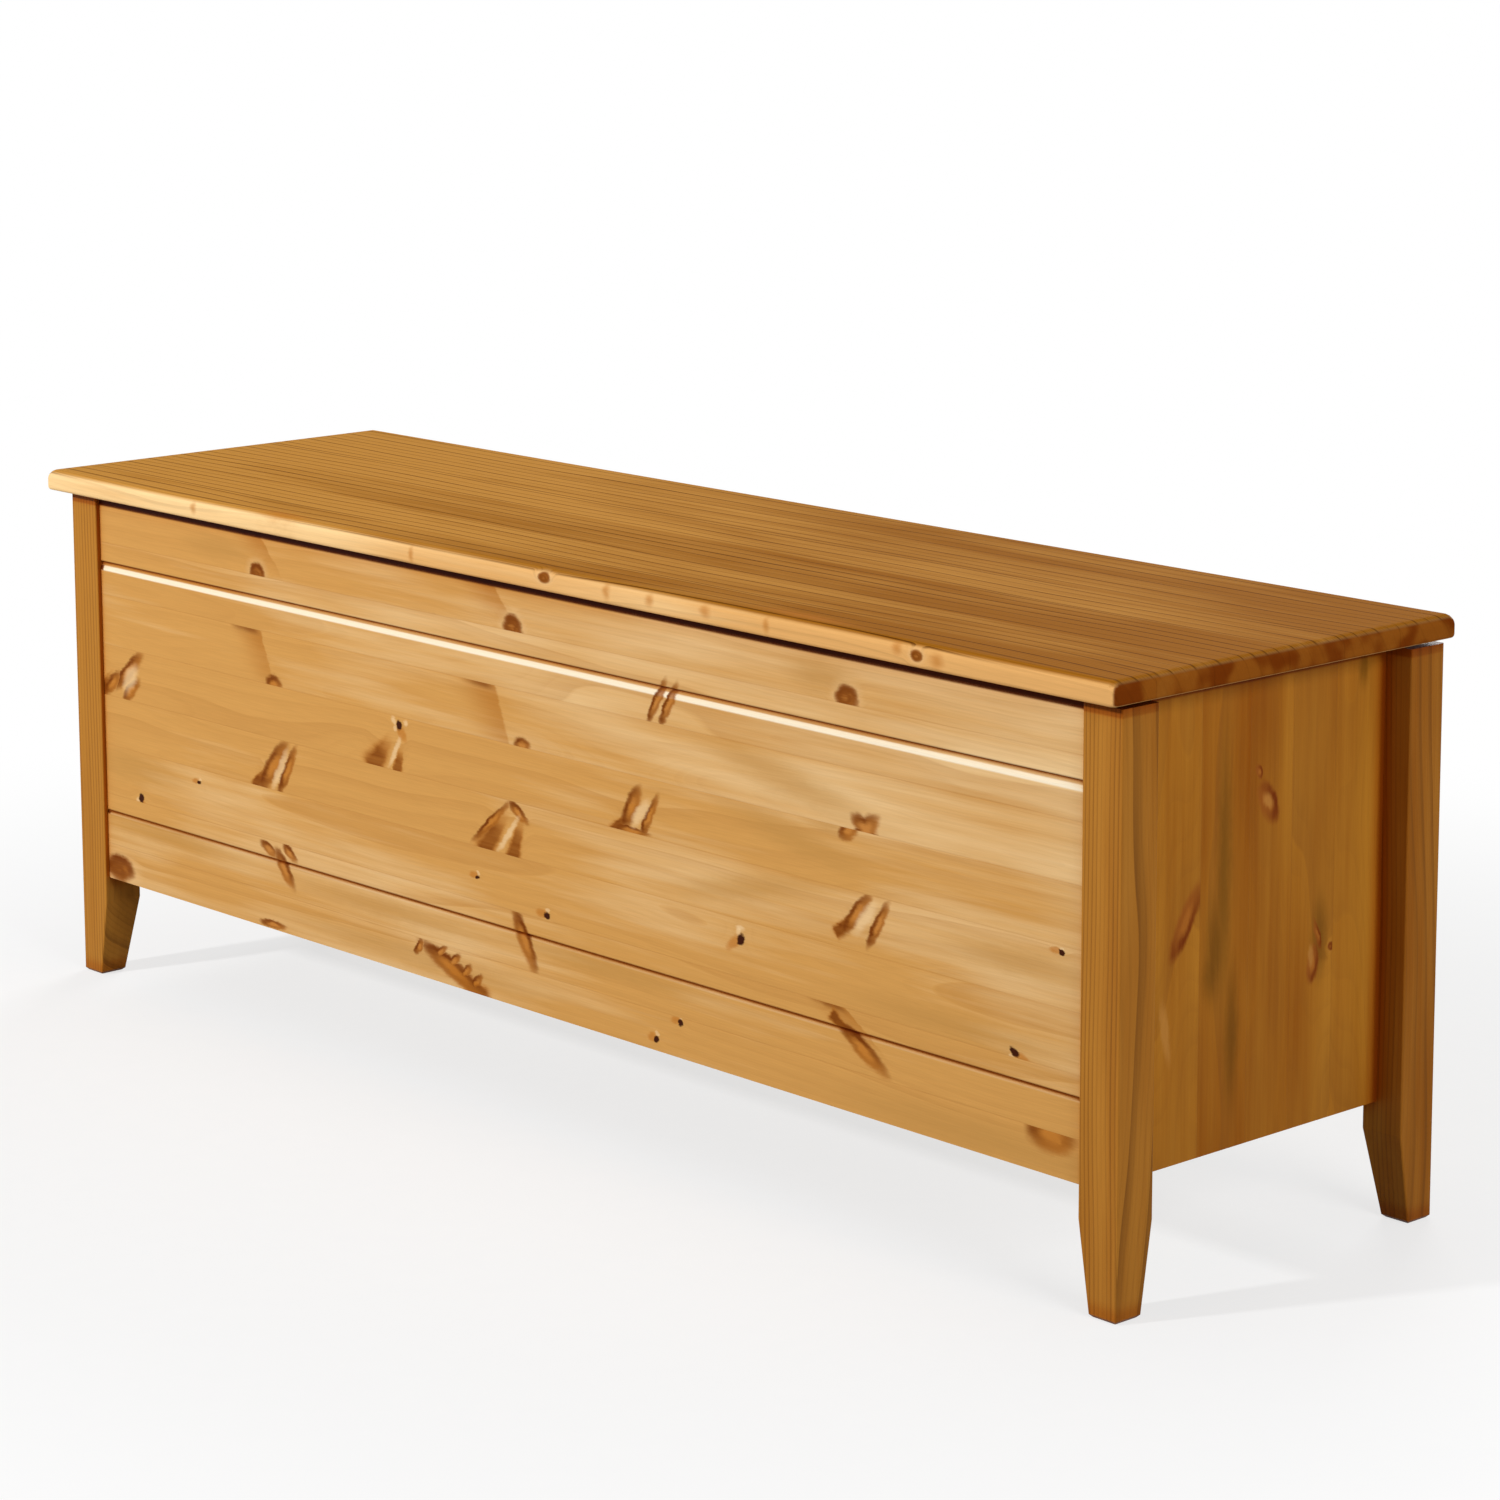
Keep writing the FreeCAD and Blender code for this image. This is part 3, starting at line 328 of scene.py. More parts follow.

# Millimetres; the last three are where a board's far end, the painted shadow under the lid and the feet set
# in; near the feet no painted shade is laid.
WOBBLE = (7.0, 7.0, 0.0)
BOARD_LENGTH = 1200.0
FAR_END = (-300.0, 480.0)
LID_SHELTER = (429.5, 431.5)
FOOT_RANGE = (50.0, 15.0)

# How far, in metres, a spot looks for other wood, and how open it is where each painted shade begins and
# ends.
SHADE_REACH = 0.018
LID_HEIGHT_SHADE_RANGE = (0.86, 1.0)
CORNER_SHADE_RANGE = (0.6, 0.74)
WARM_SHADE_RANGE = (0.7, 1.0)

# A warm painted shade where other wood is close, standing in for the light that wood throws on wood.
WARM_SHADE_TINT = (0.85, 0.66, 0.45)
END_GRAIN = (0.6, 0.52, 0.42)
DARK_END_GRAIN = (0.48, 0.38, 0.28)
LID_END = (0.38, 0.21, 0.06)
DARK_LID_END = (0.24, 0.09, 0.02)


@dataclasses.dataclass
class Cut:
    """How a board was sawn, glued up and lacquered; lengths in millimetres."""

    grain: int  # the axis along its fibres
    across: int  # the axis across its staves
    joints: tuple  # where its glued joints lie on that axis
    seed: float = 0.0  # picks the chances of its staves
    ring: float = 4.5  # the width of a year's ring
    line: float = 0.3  # how dark the summer wood is
    thin: float = 0.25  # the share of the year before it starts
    pith_side: float = 0.0  # how far the pith lies beside a stave's middle
    pith_deep: float = 60.0  # and how deep it lies
    luck_side: float = 90.0  # how much the first varies from stave to stave
    luck_deep: float = 50.0  # and how much the second does
    taper: float = 0.02  # how much the pith slants
    sway: float = 12.0  # how far the rings wave
    drift: tuple = (0.0, 0.0)  # the warmth added at its two ends
    foot: float = 0.0  # painted shade: warmth added low down at its far end, which darkens it there
    corner: tuple = (0.5, 0.3, 0.15)  # painted shade where two pieces meet
    lid_height_shade: tuple = (0.11, 0.03, 0.0)  # painted shade at the lid's height, as in the gap under the lid
    gloss: float = 0.42  # the roughness of the lacquer
    specular: float = 0.2  # how much it mirrors

    @property
    def flat(self):
        """The axis through its thickness."""
        return X + Y + Z - self.grain - self.across


class Board:
    """A point on a board in the board's own axes, with its stave, that stave's chances and the fibres."""

    def __init__(self, wire, point, cut):
        self.cut = cut
        self.along, self.width, self.thick = point[cut.grain], point[cut.across], point[cut.flat]
        self.place = wire.node("ShaderNodeCombineXYZ", {}, {0: self.along, 1: self.width, 2: self.thick})
        self.stave, self.left, self.seam = find_stave(self.width, cut.joints)
        draw = chance(self.stave * STAVE_STEP + (cut.seed + 0.5), "Color")
        self.luck_tint, self.luck_side, self.luck_deep = draw.parts()
        self.streak = noise(self.place, STREAK_SCALE, 3.0, 0.6)
        self.fibre = noise(self.place, FIBRE_SCALE, 3.0, 0.6)
        self.cloud = noise(self.place, CLOUD_SCALE, 2.0, 0.5)

    def shaken(self, scale, detail, roughness):
        """Noise about zero on each axis."""
        return noise(self.place, scale, detail, roughness, "Color") - (0.5, 0.5, 0.5)

    def near_knots(self, knots):
        """For each kind of knot, the point as the nearest one sees it, and how far out that is."""
        turned = TurnedPoint(self.place + self.shaken(WOBBLE_SCALE, 4.0, 0.65) * WOBBLE)
        places = {kind: nearest_knot(turned, marks, self.cut.joints, self.stave)
                  for kind, marks in knots.items()}
        return places, {kind: place.math("LENGTH", out=1) for kind, place in places.items()}

    def year(self, sizes):
        """The number of rings from the pith, which bend round knots."""
        cut = self.cut
        side = self.width - self.left - stave_width(cut.joints) / 2
        side = side + (cut.pith_side + (self.luck_side - 0.5) * cut.luck_side)
        deep = self.thick + (self.luck_deep - 0.5) * cut.luck_deep + cut.pith_deep
        deep = deep + self.along * ((self.luck_tint - 0.5) * cut.taper)
        _, sway_side, sway_deep = self.shaken(SWAY_SCALE, 2.0, 0.5).parts()
        side = side + sway_side * cut.sway * 2
        deep = deep + sway_deep * cut.sway * 2
        year = (side * side + deep * deep).math("SQRT") / cut.ring
        for kind, (reach, push) in KNOT_BENDS.items():
            if kind in sizes:
                year = year + sizes[kind].rise(reach, 0.2) * push
        return year

    def warmth(self, vigour):
        """How warm the wood is, from 0 for its pale colour to 1 for its warm one."""
        start, end = self.cut.drift
        warmth = self.streak * 0.8 + self.cloud * 1.6 + self.luck_tint * 0.6 + vigour * 0.1 - 1.0
        warmth = warmth + (self.along * ((end - start) / BOARD_LENGTH) + (start + end) / 2)
        if not self.cut.foot:
            return warmth
        # Painted shade: the wood is made warmer and darker low down towards the far end.
        low_down = self.width.rise(self.cut.joints[3], self.cut.joints[0]) * self.cut.foot
        evened = (0.5 - self.luck_tint) * 0.4
        return warmth + (low_down + evened) * self.along.rise(*FAR_END)


def pine_finish(name, tones, cut, knots=None, groove_painting=None):
    """Lacquered pine: staves with their own rings and tint, knots, fibres and thin glue lines."""
    material, wire = new_finish(name)
    point = object_point(wire).parts()
    board = Board(wire, point, cut)
    places, sizes = board.near_knots(knots or {})
    year = board.year(sizes)
    vigour = chance(year.math("FLOOR"))
    late = ring_line(year, cut.thin) * (vigour * 0.9 + 0.3)
    late = late + ring_line(year * FINE_RINGS + 0.3, 0.5) * 0.3

    normal = wire.node("ShaderNodeTexCoord", {}, {}, "Normal").parts()
    # Painted light on the lid: faces that don't point up take the paler edge colours, so the edges are a lit
    # copy and the top a shaded copy of one wood.
    if "edges" in tones:
        up = normal[cut.flat].rise(0.5, 0.9)
        edges = {kind: up.blend(tones["edges"][kind], tones[kind]) for kind in ("pale", "warm")}
        tones = {**tones, **edges}
        late = late * up.blend(0.12, 1.0)
    tone = board.warmth(vigour).blend(tones["pale"], tones["warm"])
    tone = (late * cut.line * (0.5 + board.streak)).blend(tone, tones["line"])
    # Painted highlight and painted shadow in the grooves, where a board has them.
    if groove_painting:
        tone = groove_painting(tone, tones, point)
    for kind, paint in KNOT_PAINTS.items():
        if kind in places:
            tone = paint(tone, tones, places[kind], sizes[kind], board)
    glue = board.seam.rise(0.8, 0.2)
    tone = (glue * 0.15).blend(tone, tones["line"])
    pores = noise(board.place, PORE_SCALE, 1.0).rise(0.4, 0.62).blend(tones["end"], tones["dark_end"])
    tone = abs(normal[cut.grain]).rise(0.5, 0.85).blend(tone, tone * pores)
    # Painted shade: the colour is darkened in corners, crevices and under the lid, where shade falls.
    light = painted_corner_shade(wire, point[Z], cut)
    tone = tone * (board.fibre * 0.2 + 0.9) * light

    grained = bumps(board.fibre * 0.5 - glue * 0.6, 0.3, 0.0004)
    surface(wire, {"Base Color": tone, "Roughness": board.fibre * 0.12 + late * 0.05 + (cut.gloss - 0.06),
                   "Normal": grained, "Specular IOR Level": cut.specular})
    return material


def painted_corner_shade(wire, height, cut):
    """Painted shade in corners and in the gap under the lid, times a warm painted shade that stands in for
    the light of wood upon wood.
    """
    sheltered = height.rise(*LID_SHELTER)
    open_to = wire.node("ShaderNodeAmbientOcclusion", {"samples": 16}, {"Distance": SHADE_REACH}, "AO")
    lit = sheltered.blend(open_to.rise(*CORNER_SHADE_RANGE), open_to.rise(*LID_HEIGHT_SHADE_RANGE))
    lit = lit.math("MAXIMUM", height.rise(*FOOT_RANGE))
    light = lit.blend(sheltered.blend(cut.corner, cut.lid_height_shade), WHITE)
    return light * open_to.rise(*WARM_SHADE_RANGE).blend(WARM_SHADE_TINT, WHITE)


def find_stave(width, joints):
    """The number of the stave at a place, the joint on its left, and the distance to a joint."""
    stave, left, seam = width > joints[0], joints[0], abs(width - joints[0])
    for before, joint in zip(joints, joints[1:]):
        past = width > joint
        stave = stave + past
        left = past * (joint - before) + left
        seam = seam.math("MINIMUM", abs(width - joint))
    return stave, left, seam


def stave_width(joints):
    """The usual width of a stave."""
    return (joints[-1] - joints[0]) / max(1, len(joints) - 1)


def ring_line(year, thin):
    """The dark summer wood at the end of each year's ring, which starts at the share thin of it."""
    growth = year.math("FRACT")
    return growth.rise(thin, RING_END) * growth.rise(1.0, RING_END)


# ---------------------------------------------------------------- knots

FAR_AWAY = 1e5
NO_KNOT = (FAR_AWAY, FAR_AWAY, 1.0, 1.0, 0)
TURN_STEP = 10
KNOT_BENDS = {"eye": (2.6, 0.8), "pin": (5.0, 0.4), "wedge": (1.8, 0.4)}


class TurnedPoint:
    """The point on a board, turned by the angles that its knots need; each turn is made only once."""

    def __init__(self, point):
        self.point = point
        self.turns = {}

    def by(self, turn):
        """The point in axes turned by so many degrees."""
        if turn not in self.turns:
            cos, sin = math.cos(math.radians(turn)), math.sin(math.radians(turn))
            rows = ((cos, sin, 0.0), (-sin, cos, 0.0), (0.0, 0.0, 1.0))
            parts = [self.point.math("DOT_PRODUCT", row, out=1) for row in rows]
            self.turns[turn] = self.point.node("ShaderNodeCombineXYZ", {}, dict(enumerate(parts)))
        return self.turns[turn]

    def seen_from(self, knot):
        """The point as a knot sees it, in its half sizes."""
        along, across, half_length, half_width, turn, *deep = knot
        depth, half_depth = deep or (0.0, FAR_AWAY)
        turn = TURN_STEP * round(turn / TURN_STEP)
        cos, sin = math.cos(math.radians(turn)), math.sin(math.radians(turn))
        centre = (along * cos + across * sin, across * cos - along * sin, depth)
        halves = (half_length, half_width, half_depth)
        shares = tuple(1 / half for half in halves)
        start = tuple(-place / half for place, half in zip(centre, halves))
        return self.by(turn).math("MULTIPLY_ADD", shares, start)


def nearest_knot(turned, knots, joints, stave):
    """The point as seen from the nearest knot of its own stave, in the knot's half sizes."""
    sets = [[], []]
    for knot in knots:
        sets[sum(knot[1] > joint for joint in joints) % 2].append(knot)
    even, odd = (nearest_of(turned, group) for group in sets)
    return stave.math("FLOORED_MODULO", 2.0).blend(even, odd)


def nearest_of(turned, knots):
    """The point as seen from whichever knot of a list is nearest to it."""
    best = size = None
    for knot in knots or (NO_KNOT,):
        place = turned.seen_from(knot)
        length = place.math("LENGTH", out=1)
        best = (size > length).blend(best, place) if best else place
        size = size.math("MINIMUM", length) if size else length
    return best


def paint_shade(tone, tones, place, size, board):
    """A wide soft shadow in the figure of the wood."""
    return (size.rise(1.3, 0.1) * 0.6).blend(tone, tones["shade"])


def paint_flame(tone, tones, place, size, board):
    """Resin-dark wood beside a knot: a dark line on top, sharp on one side and faint on the other."""
    run, off, _ = place.parts()
    run = run + off * 0.8
    near = off.rise(2.2, 1.4)
    body = run.rise(-1.1, 0.85) * run.rise(1.0, 0.88) * off.rise(-1.3, 0.5) * near
    tone = (body * (0.4 + board.streak * 0.6)).blend(tone, tones["flame"])
    top = board.seam.rise(6.0, 1.0) * off.rise(0.1, 0.7) * abs(run).rise(1.05, 0.5) * near
    return (top * 0.7).blend(tone, tones["knot"])


def paint_wedge(tone, tones, place, size, board):
    """A soft brown wedge that darkens towards its foot."""
    run, off, _ = place.parts()
    girth = 0.6 - 0.4 * run
    body = (abs(off) / girth).rise(1.2, 0.4) * run.rise(1.0, -0.4) * run.rise(-1.25, -0.95)
    tone = (body * (0.6 + board.streak * 0.6)).blend(tone, tones["core"])
    return (body * body * (0.3 + board.streak)).blend(tone, tones["knot"])


def paint_fleck(tone, tones, place, size, board):
    """A pale pinkish fleck, as between the flanks of a branch."""
    return (size.rise(1.2, 0.4) * 0.6).blend(tone, tones["fleck"])


def paint_stroke(tone, tones, place, size, board):
    """One flank of a branch cut lengthwise: a brown leaf with an orange heart, darker at its foot."""
    run, off, _ = place.parts()
    tone = (size.rise(1.25, 0.6) * 0.85).blend(tone, tones["core"])
    rim = abs(size - 0.72).rise(0.55, 0.05)
    return (rim * (0.62 - run * 0.2 + off * 0.4) * (0.5 + board.streak)).blend(tone, tones["knot"])


def paint_eye(tone, tones, place, size, board):
    """A knot cut across: a reddish disc with a darker, uneven rim."""
    run, off, _ = place.parts()
    tone = (size.rise(2.0, 1.1) * 0.18).blend(tone, tones["fleck"])
    tone = (size.rise(1.3, 0.6) * 0.9).blend(tone, tones["core"])
    tone = (size.rise(1.2, 0.5) * 0.4).blend(tone, tones["knot"])
    rings = (size * 5 + board.streak * 12 + run * 2).math("SINE") * 0.5 + 0.5
    tone = (size.rise(1.1, 0.4) * rings * 0.7).blend(tone, tones["knot"])
    rim = abs(size - 0.8).rise(0.5, 0.05) * (0.35 + off * 0.3 + board.streak * 0.7)
    return rim.blend(tone, tones["knot"])


def paint_pin(tone, tones, place, size, board):
    """A pin knot: nearly black, with a short brown smudge on one side."""
    run, off, _ = place.parts()
    smudge = ((run + 1.6) * (run + 1.6) * 0.3 + (off - 0.4) * (off - 0.4)).rise(2.2, 0.2)
    tone = (smudge * 0.7).blend(tone, tones["core"])
    glint = ((run - 0.3) * (run - 0.3) + (off - 1.5) * (off - 1.5)).rise(0.7, 0.1)
    tone = (glint * 0.5).blend(tone, tones["fleck"])
    return size.rise(1.2, 0.7).blend(tone, tones["bark"])


KNOT_PAINTS = {"shade": paint_shade, "flame": paint_flame, "wedge": paint_wedge, "stroke": paint_stroke,
               "eye": paint_eye, "fleck": paint_fleck, "pin": paint_pin}


# ---------------------------------------------------------------- the chest's own boards

def tones_of(pine, part, marks=1.0):
    """The colours of one part's wood from the settings; marks is how light its knots and lines are."""
    tones = {"pale": tuple(getattr(pine, f"{part}_pale")), "warm": tuple(getattr(pine, f"{part}_warm")),
             "end": END_GRAIN, "dark_end": DARK_END_GRAIN}
    for name in ("line", "shade", "flame", "core", "knot", "bark", "fleck"):
        tones[name] = tuple(level * marks for level in getattr(pine, name))
    return tones


GROOVES = ((381.0, 377.0, 372.6, 0.95), (155.0, 153.0, 151.0, 0.15))  # top, middle, bottom, and strength of the painted highlight
GROOVE_DEPTH = (5.0, 4.0)
GROOVE_LEFT_END = (-592.5, -595.0)


def painted_groove_light(tone, tones, point):
    """Painted light in the grooves: a painted highlight on the lower side of each groove, and painted shadow
    along its upper edge and at its left end.
    """
    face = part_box("front_panel")[0][Y] * MILLIMETRES
    front = (point[Y] - face).rise(*GROOVE_DEPTH)
    left_end = point[X].rise(*GROOVE_LEFT_END)
    for top, middle, bottom, paleness in GROOVES:
        # Painted highlight on the lower side of the groove.
        milled = point[Z].rise(bottom - 0.8, bottom + 0.8) * point[Z].rise(middle + 0.6, middle - 0.6)
        tone = (front * milled * paleness).blend(tone, tones["milled"])
        # Painted shadow along the groove's upper edge, and in its left end by the leg.
        edge = abs(point[Z] - (top - 0.4)).rise(1.6, 0.4)
        tone = (front * (edge * 0.6 + milled * left_end)).blend(tone, tones["knot"])
    return tone


def branches(*marks):
    """Marks given by foot, tip and half width, as the place, half sizes and turn that a knot has."""
    rows = []
    for foot_x, foot_y, tip_x, tip_y, half_width in marks:
        run, rise = tip_x - foot_x, tip_y - foot_y
        rows.append(((foot_x + tip_x) / 2, (foot_y + tip_y) / 2, math.hypot(run, rise) / 2, half_width,
                     math.degrees(math.atan2(rise, run))))
    return tuple(rows)


FRONT_JOINTS = (124, 170, 215, 260, 306, 351, 398)
SIDE_JOINTS = (-103, -55, -3, 43, 90)
LID_JOINTS = (-141, -82, -3, 56, 118)
FRONT_KNOTS = {
    "shade": ((300, 330, 110, 16, -8), (300, 290, 90, 14, -8), (-560, 200, 90, 16, 0),
              (-500, 145, 130, 10, 0), (-190, 140, 150, 10, 0), (90, 145, 140, 9, 0),
              (470, 180, 130, 12, -4), (250, 240, 90, 12, 10), (-420, 415, 60, 12, 0),
              # The long shade at (500, 104) is painted shade that darkens the lower right of the panel.
              (330, 415, 40, 14, 0), (500, 104, 200, 16, 0), (540, 240, 90, 14, 0),
              (-150, 108, 200, 12, 0), (340, 306, 34, 9, 0)),
    "flame": ((-372, 424, 30, 18, -10), (-66, 424, 36, 22, -12), (-374, 330, 30, 27, -16),
              (-66, 330, 46, 30, -26), (350, 161, 34, 12, -8)),
    "wedge": branches(
        (-207, 256, -178, 293, 17), (-174, 257, -166, 286, 9), (-64, 212, -24, 256, 14),
        (-26, 211, -10, 254, 11), (350, 224, 372, 246, 7), (-374, 213, -352, 237, 7),
        (98, 258, 120, 276, 7), (-604, 259, -580, 287, 10), (345, 163, 372, 147, 7),
        (-584, 98, -560, 118, 14), (-62, 92, -140, 118, 10)),
    "fleck": branches(
        (-184, 260, -168, 292, 3), (-180, 305, -174, 299, 3), (-164, 300, -158, 303, 3),
        (-47, 213, -14, 250, 3.5), (121, 264, 140, 290, 6), (-568, 266, -545, 294, 9),
        (-350, 214, -322, 254, 5), (368, 226, 392, 258, 6)) + ((245, 208, 6, 3, 0),),
    "stroke": branches(
        (-580, 270, -536, 304, 7), (-568, 260, -542, 279, 6), (-596, 260, -572, 284, 6),
        (140, 350, 161, 386, 4.5), (156, 350, 173, 386, 4.5), (112, 262, 129, 298, 7.5),
        (131, 258, 151, 294, 4.5), (100, 262, 141, 261, 3.5), (-366, 212, -324, 259, 9),
        (-336, 212, -314, 258, 5.5), (-74, 220, -28, 258, 4), (-28, 259, -6, 244, 5),
        (356, 225, 386, 261, 6), (384, 220, 403, 259, 5), (-24, 172, 2, 124, 8),
        (354, 159, 402, 126, 7.5), (-366, 165, -342, 158, 5), (-334, 168, -314, 158, 5),
        (-344, 164, -320, 132, 7), (-144, 120, -61, 91, 8.5), (-127, 110, -112, 124, 4),
        (-110, 105, -94, 120, 4), (-95, 100, -79, 114, 4), (-81, 95, -65, 108, 4),
        (-153, 110, -142, 124, 4), (-368, 96, -331, 96, 3.5), (368, 299, 394, 318, 8),
        (366, 317, 394, 299, 7), (352, 300, 372, 306, 6)) + (
        (-342, 307, 11, 8, 0), (-12, 307, 10, 7, 0), (568, 121, 23, 13, 0), (574, 119, 11, 7, 0)),
    "eye": ((-363, 399, 10, 9, 0), (-22, 400, 11, 10, 0), (360, 402, 11, 10, 10),
            (-580, 103, 20, 11, 0)),
    "pin": ((-544, 174, 4, 4, 130), (-170, 299, 4, 4, 130), (245, 200, 5, 4, 40), (17, 174, 3.5, 3, 0),
            (532, 174, 5, 3, 160), (576, 255, 3, 2, 0), (176, 120, 3, 3, 0), (148, 101, 3, 3, 0),
            (-454, 203, 3, 2, 0), (-70, 190, 3, 2, 0)),
}
SIDE_KNOTS = {
    "shade": ((233, -117, 36, 14, 0), (200, -112, 30, 12, 0), (243, -38, 44, 13, 0), (226, -42, 26, 12, 0),
              (423, 120, 16, 7, 0), (300, -30, 110, 9, 0), (175, -20, 60, 9, 0), (230, 75, 34, 10, 0)),
    "fleck": ((341, 16, 8, 5, -30), (218, 66, 9, 3, 0), (190, -90, 26, 5, -10)),
    "stroke": branches((325, 24, 355, 8, 9), (244, -86, 292, -54, 8.5), (198, 66, 226, 70, 6),
                       (359, 9, 369, 3, 3.5), (222, 76, 244, 70, 3)),
    "eye": ((221, 88, 3.5, 3, 0),),
}
LID_KNOTS = {
    "shade": ((-300, -176, 40, 8, 0), (330, -170, 60, 9, 0), (120, -184, 5, 6, 0, 452, 8),
              (170, -184, 6, 6, 0, 452, 6), (233, -184, 7, 6, 0, 452, 6), (300, -184, 4, 6, 0, 451, 7),
              (-120, -184, 4, 6, 0, 450, 8), (-420, -184, 5, 6, 0, 452, 6), (476, -184, 8, 6, 0, 450, 7),
              (436, -184, 6, 6, 0, 454, 6)),
    "eye": ((46, -183, 7, 8, 0, 453, 4), (456, -184, 6, 8, 0, 451, 4)),
}


OUTER_STAVE = 40
STREWN_KNOTS = {  # half length, slimness and turns
    "wedge": (22, 0.5, (50, 58, 120)), "stroke": (20, 0.22, (50, 56, 62, 118)), "eye": (9, 0.8, (0, 20, -20)),
    "pin": (3.5, 0.9, (0, 40, 130)), "shade": (80, 0.16, (0, 5, -5))}


def scattered_knots(seed, reach, joints, count):
    """Knots strewn over a board by chance."""
    draw = random.Random(seed)
    low, high = joints[0] - OUTER_STAVE, joints[-1] + OUTER_STAVE
    knots = {kind: [] for kind in STREWN_KNOTS}
    for _ in range(count):
        kind = draw.choice(tuple(STREWN_KNOTS))
        along, across = draw.uniform(*reach), draw.uniform(low, high)
        length, slimness, turns = STREWN_KNOTS[kind]
        size = length * draw.uniform(0.7, 1.3)
        girth = size * slimness
        turn = draw.choice(turns)
        knots[kind].append((along, across, size, girth, turn))
    return {kind: tuple(places) for kind, places in knots.items() if places}


# ---------------------------------------------------------------- other finishes

def plated_steel(name, colour, gloss, brushed):
    """Plated steel: fine brushing along one axis, faint clouds and rubbed spots."""
    material, wire = new_finish(name)
    point = object_point(wire)
    scale = [3.0, 3.0, 3.0]
    scale[brushed] = 0.15
    lines = noise(point, tuple(scale), 3.0, 0.65)
    cloud = noise(point, 0.06, 3.0, 0.6)
    rubbed = noise(point, 0.4).rise(0.6, 0.75)
    darker = tuple(level * 0.72 for level in colour)
    tone = (cloud * 0.7 + lines * 0.3).blend(darker, colour)
    surface(wire, {"Base Color": tone, "Metallic": 1.0, "Normal": bumps(lines, 0.12, 0.0001),
                   "Roughness": lines * 0.16 + cloud * 0.1 + rubbed * 0.08 + (gloss - 0.13)})
    return material


def cast_zinc(name):
    """Die-cast zinc: grey, grainy and slightly pitted."""
    material, wire = new_finish(name)
    grain = noise(object_point(wire), 2.0, 4.0, 0.7)
    tone = grain.blend(ink(120, 122, 124), ink(178, 180, 182))
    surface(wire, {"Base Color": tone, "Metallic": 1.0, "Roughness": grain * 0.2 + 0.4,
                   "Normal": bumps(grain, 0.3, 0.0001)})
    return material


def beech(name):
    """Beech: pinkish, with short dark flecks."""
    material, wire = new_finish(name)
    point = object_point(wire)
    body = noise(point, (0.05, 0.4, 0.4), 3.0, 0.5)
    fleck = noise(point, (0.25, 1.6, 1.6), 2.0, 0.5).rise(0.58, 0.68)
    tone = (fleck * 0.5).blend(body.blend(ink(214, 170, 126), ink(190, 140, 96)), ink(150, 100, 62))
    surface(wire, {"Base Color": tone, "Roughness": body * 0.1 + 0.55, "Normal": bumps(fleck, 0.2, 0.0002)})
    return material


def soft_rubber(name):
    """Dark rubber with a dull, speckled skin."""
    material, wire = new_finish(name)
    speck = noise(object_point(wire), 1.5, 3.0, 0.6)
    tone = speck.blend(ink(38, 34, 30), ink(66, 60, 54))
    surface(wire, {"Base Color": tone, "Roughness": speck * 0.2 + 0.65, "Normal": bumps(speck, 0.25, 0.0002)})
    return material


# ---------------------------------------------------------------- screws

SCREW_INPUTS = ("Head Diameter", "Head Depth", "Shank Diameter", "Length", "Slot Depth", "Thread Pitch")
SCREW_SHARES = {"Head Diameter": 1.0, "Head Depth": 0.27, "Shank Diameter": 0.46, "Slot Depth": 0.17,
                "Thread Pitch": 0.2}
SLOT_LENGTH, SLOT_WIDTH = 0.56, 0.13  # shares of the head's diameter
TIP, ROOT, RIDGE, THREAD_START = 0.06, 0.42, 0.08, 0.1  # shares of the shank's diameter
SCREW_SIDES = 24
TURN_SIDES = 10
RIDGE_SIDES = 4
SCREW_BODIES = {"cleat_screws": "case", "floor_screws": "case", "hinge_case_screws": "case",
                "hinge_lid_screws": "lid", "stay_bracket_screws": "lid", "batten_screws": "lid"}
MERGE_DISTANCE = 1e-6


def loose_solids(mesh):
    """The corners of each separate solid of a mesh."""
    shape = bmesh.new()
    shape.from_mesh(mesh)
    bmesh.ops.remove_doubles(shape, verts=shape.verts, dist=MERGE_DISTANCE)
    waiting = set(shape.verts)
    solids = []
    for first in shape.verts:
        if first not in waiting:
            continue
        waiting.remove(first)
        reached = [first]
        for corner in reached:
            beside = {edge.other_vert(corner) for edge in corner.link_edges} & waiting
            waiting -= beside
            reached.extend(beside)
        solids.append([corner.co.copy() for corner in reached])
    shape.free()
    return solids


def screw_place(corners):
    """A screw's head middle, the way it points out of the wood, its head's diameter and its length."""
    low = Vector([min(corner[axis] for corner in corners) for axis in (X, Y, Z)])
    high = Vector([max(corner[axis] for corner in corners) for axis in (X, Y, Z)])
    size = high - low
    axis = max((X, Y, Z), key=lambda number: size[number])
    near = size[axis] / 10
    at_high = sum(corner[axis] > high[axis] - near for corner in corners)
    at_low = sum(corner[axis] < low[axis] + near for corner in corners)
    head, way = (low + high) / 2, Vector((0.0, 0.0, 0.0))
    head[axis], way[axis] = (high[axis], 1.0) if at_high > at_low else (low[axis], -1.0)
    return head, way, max(size[(axis + 1) % 3], size[(axis + 2) % 3]), size[axis]


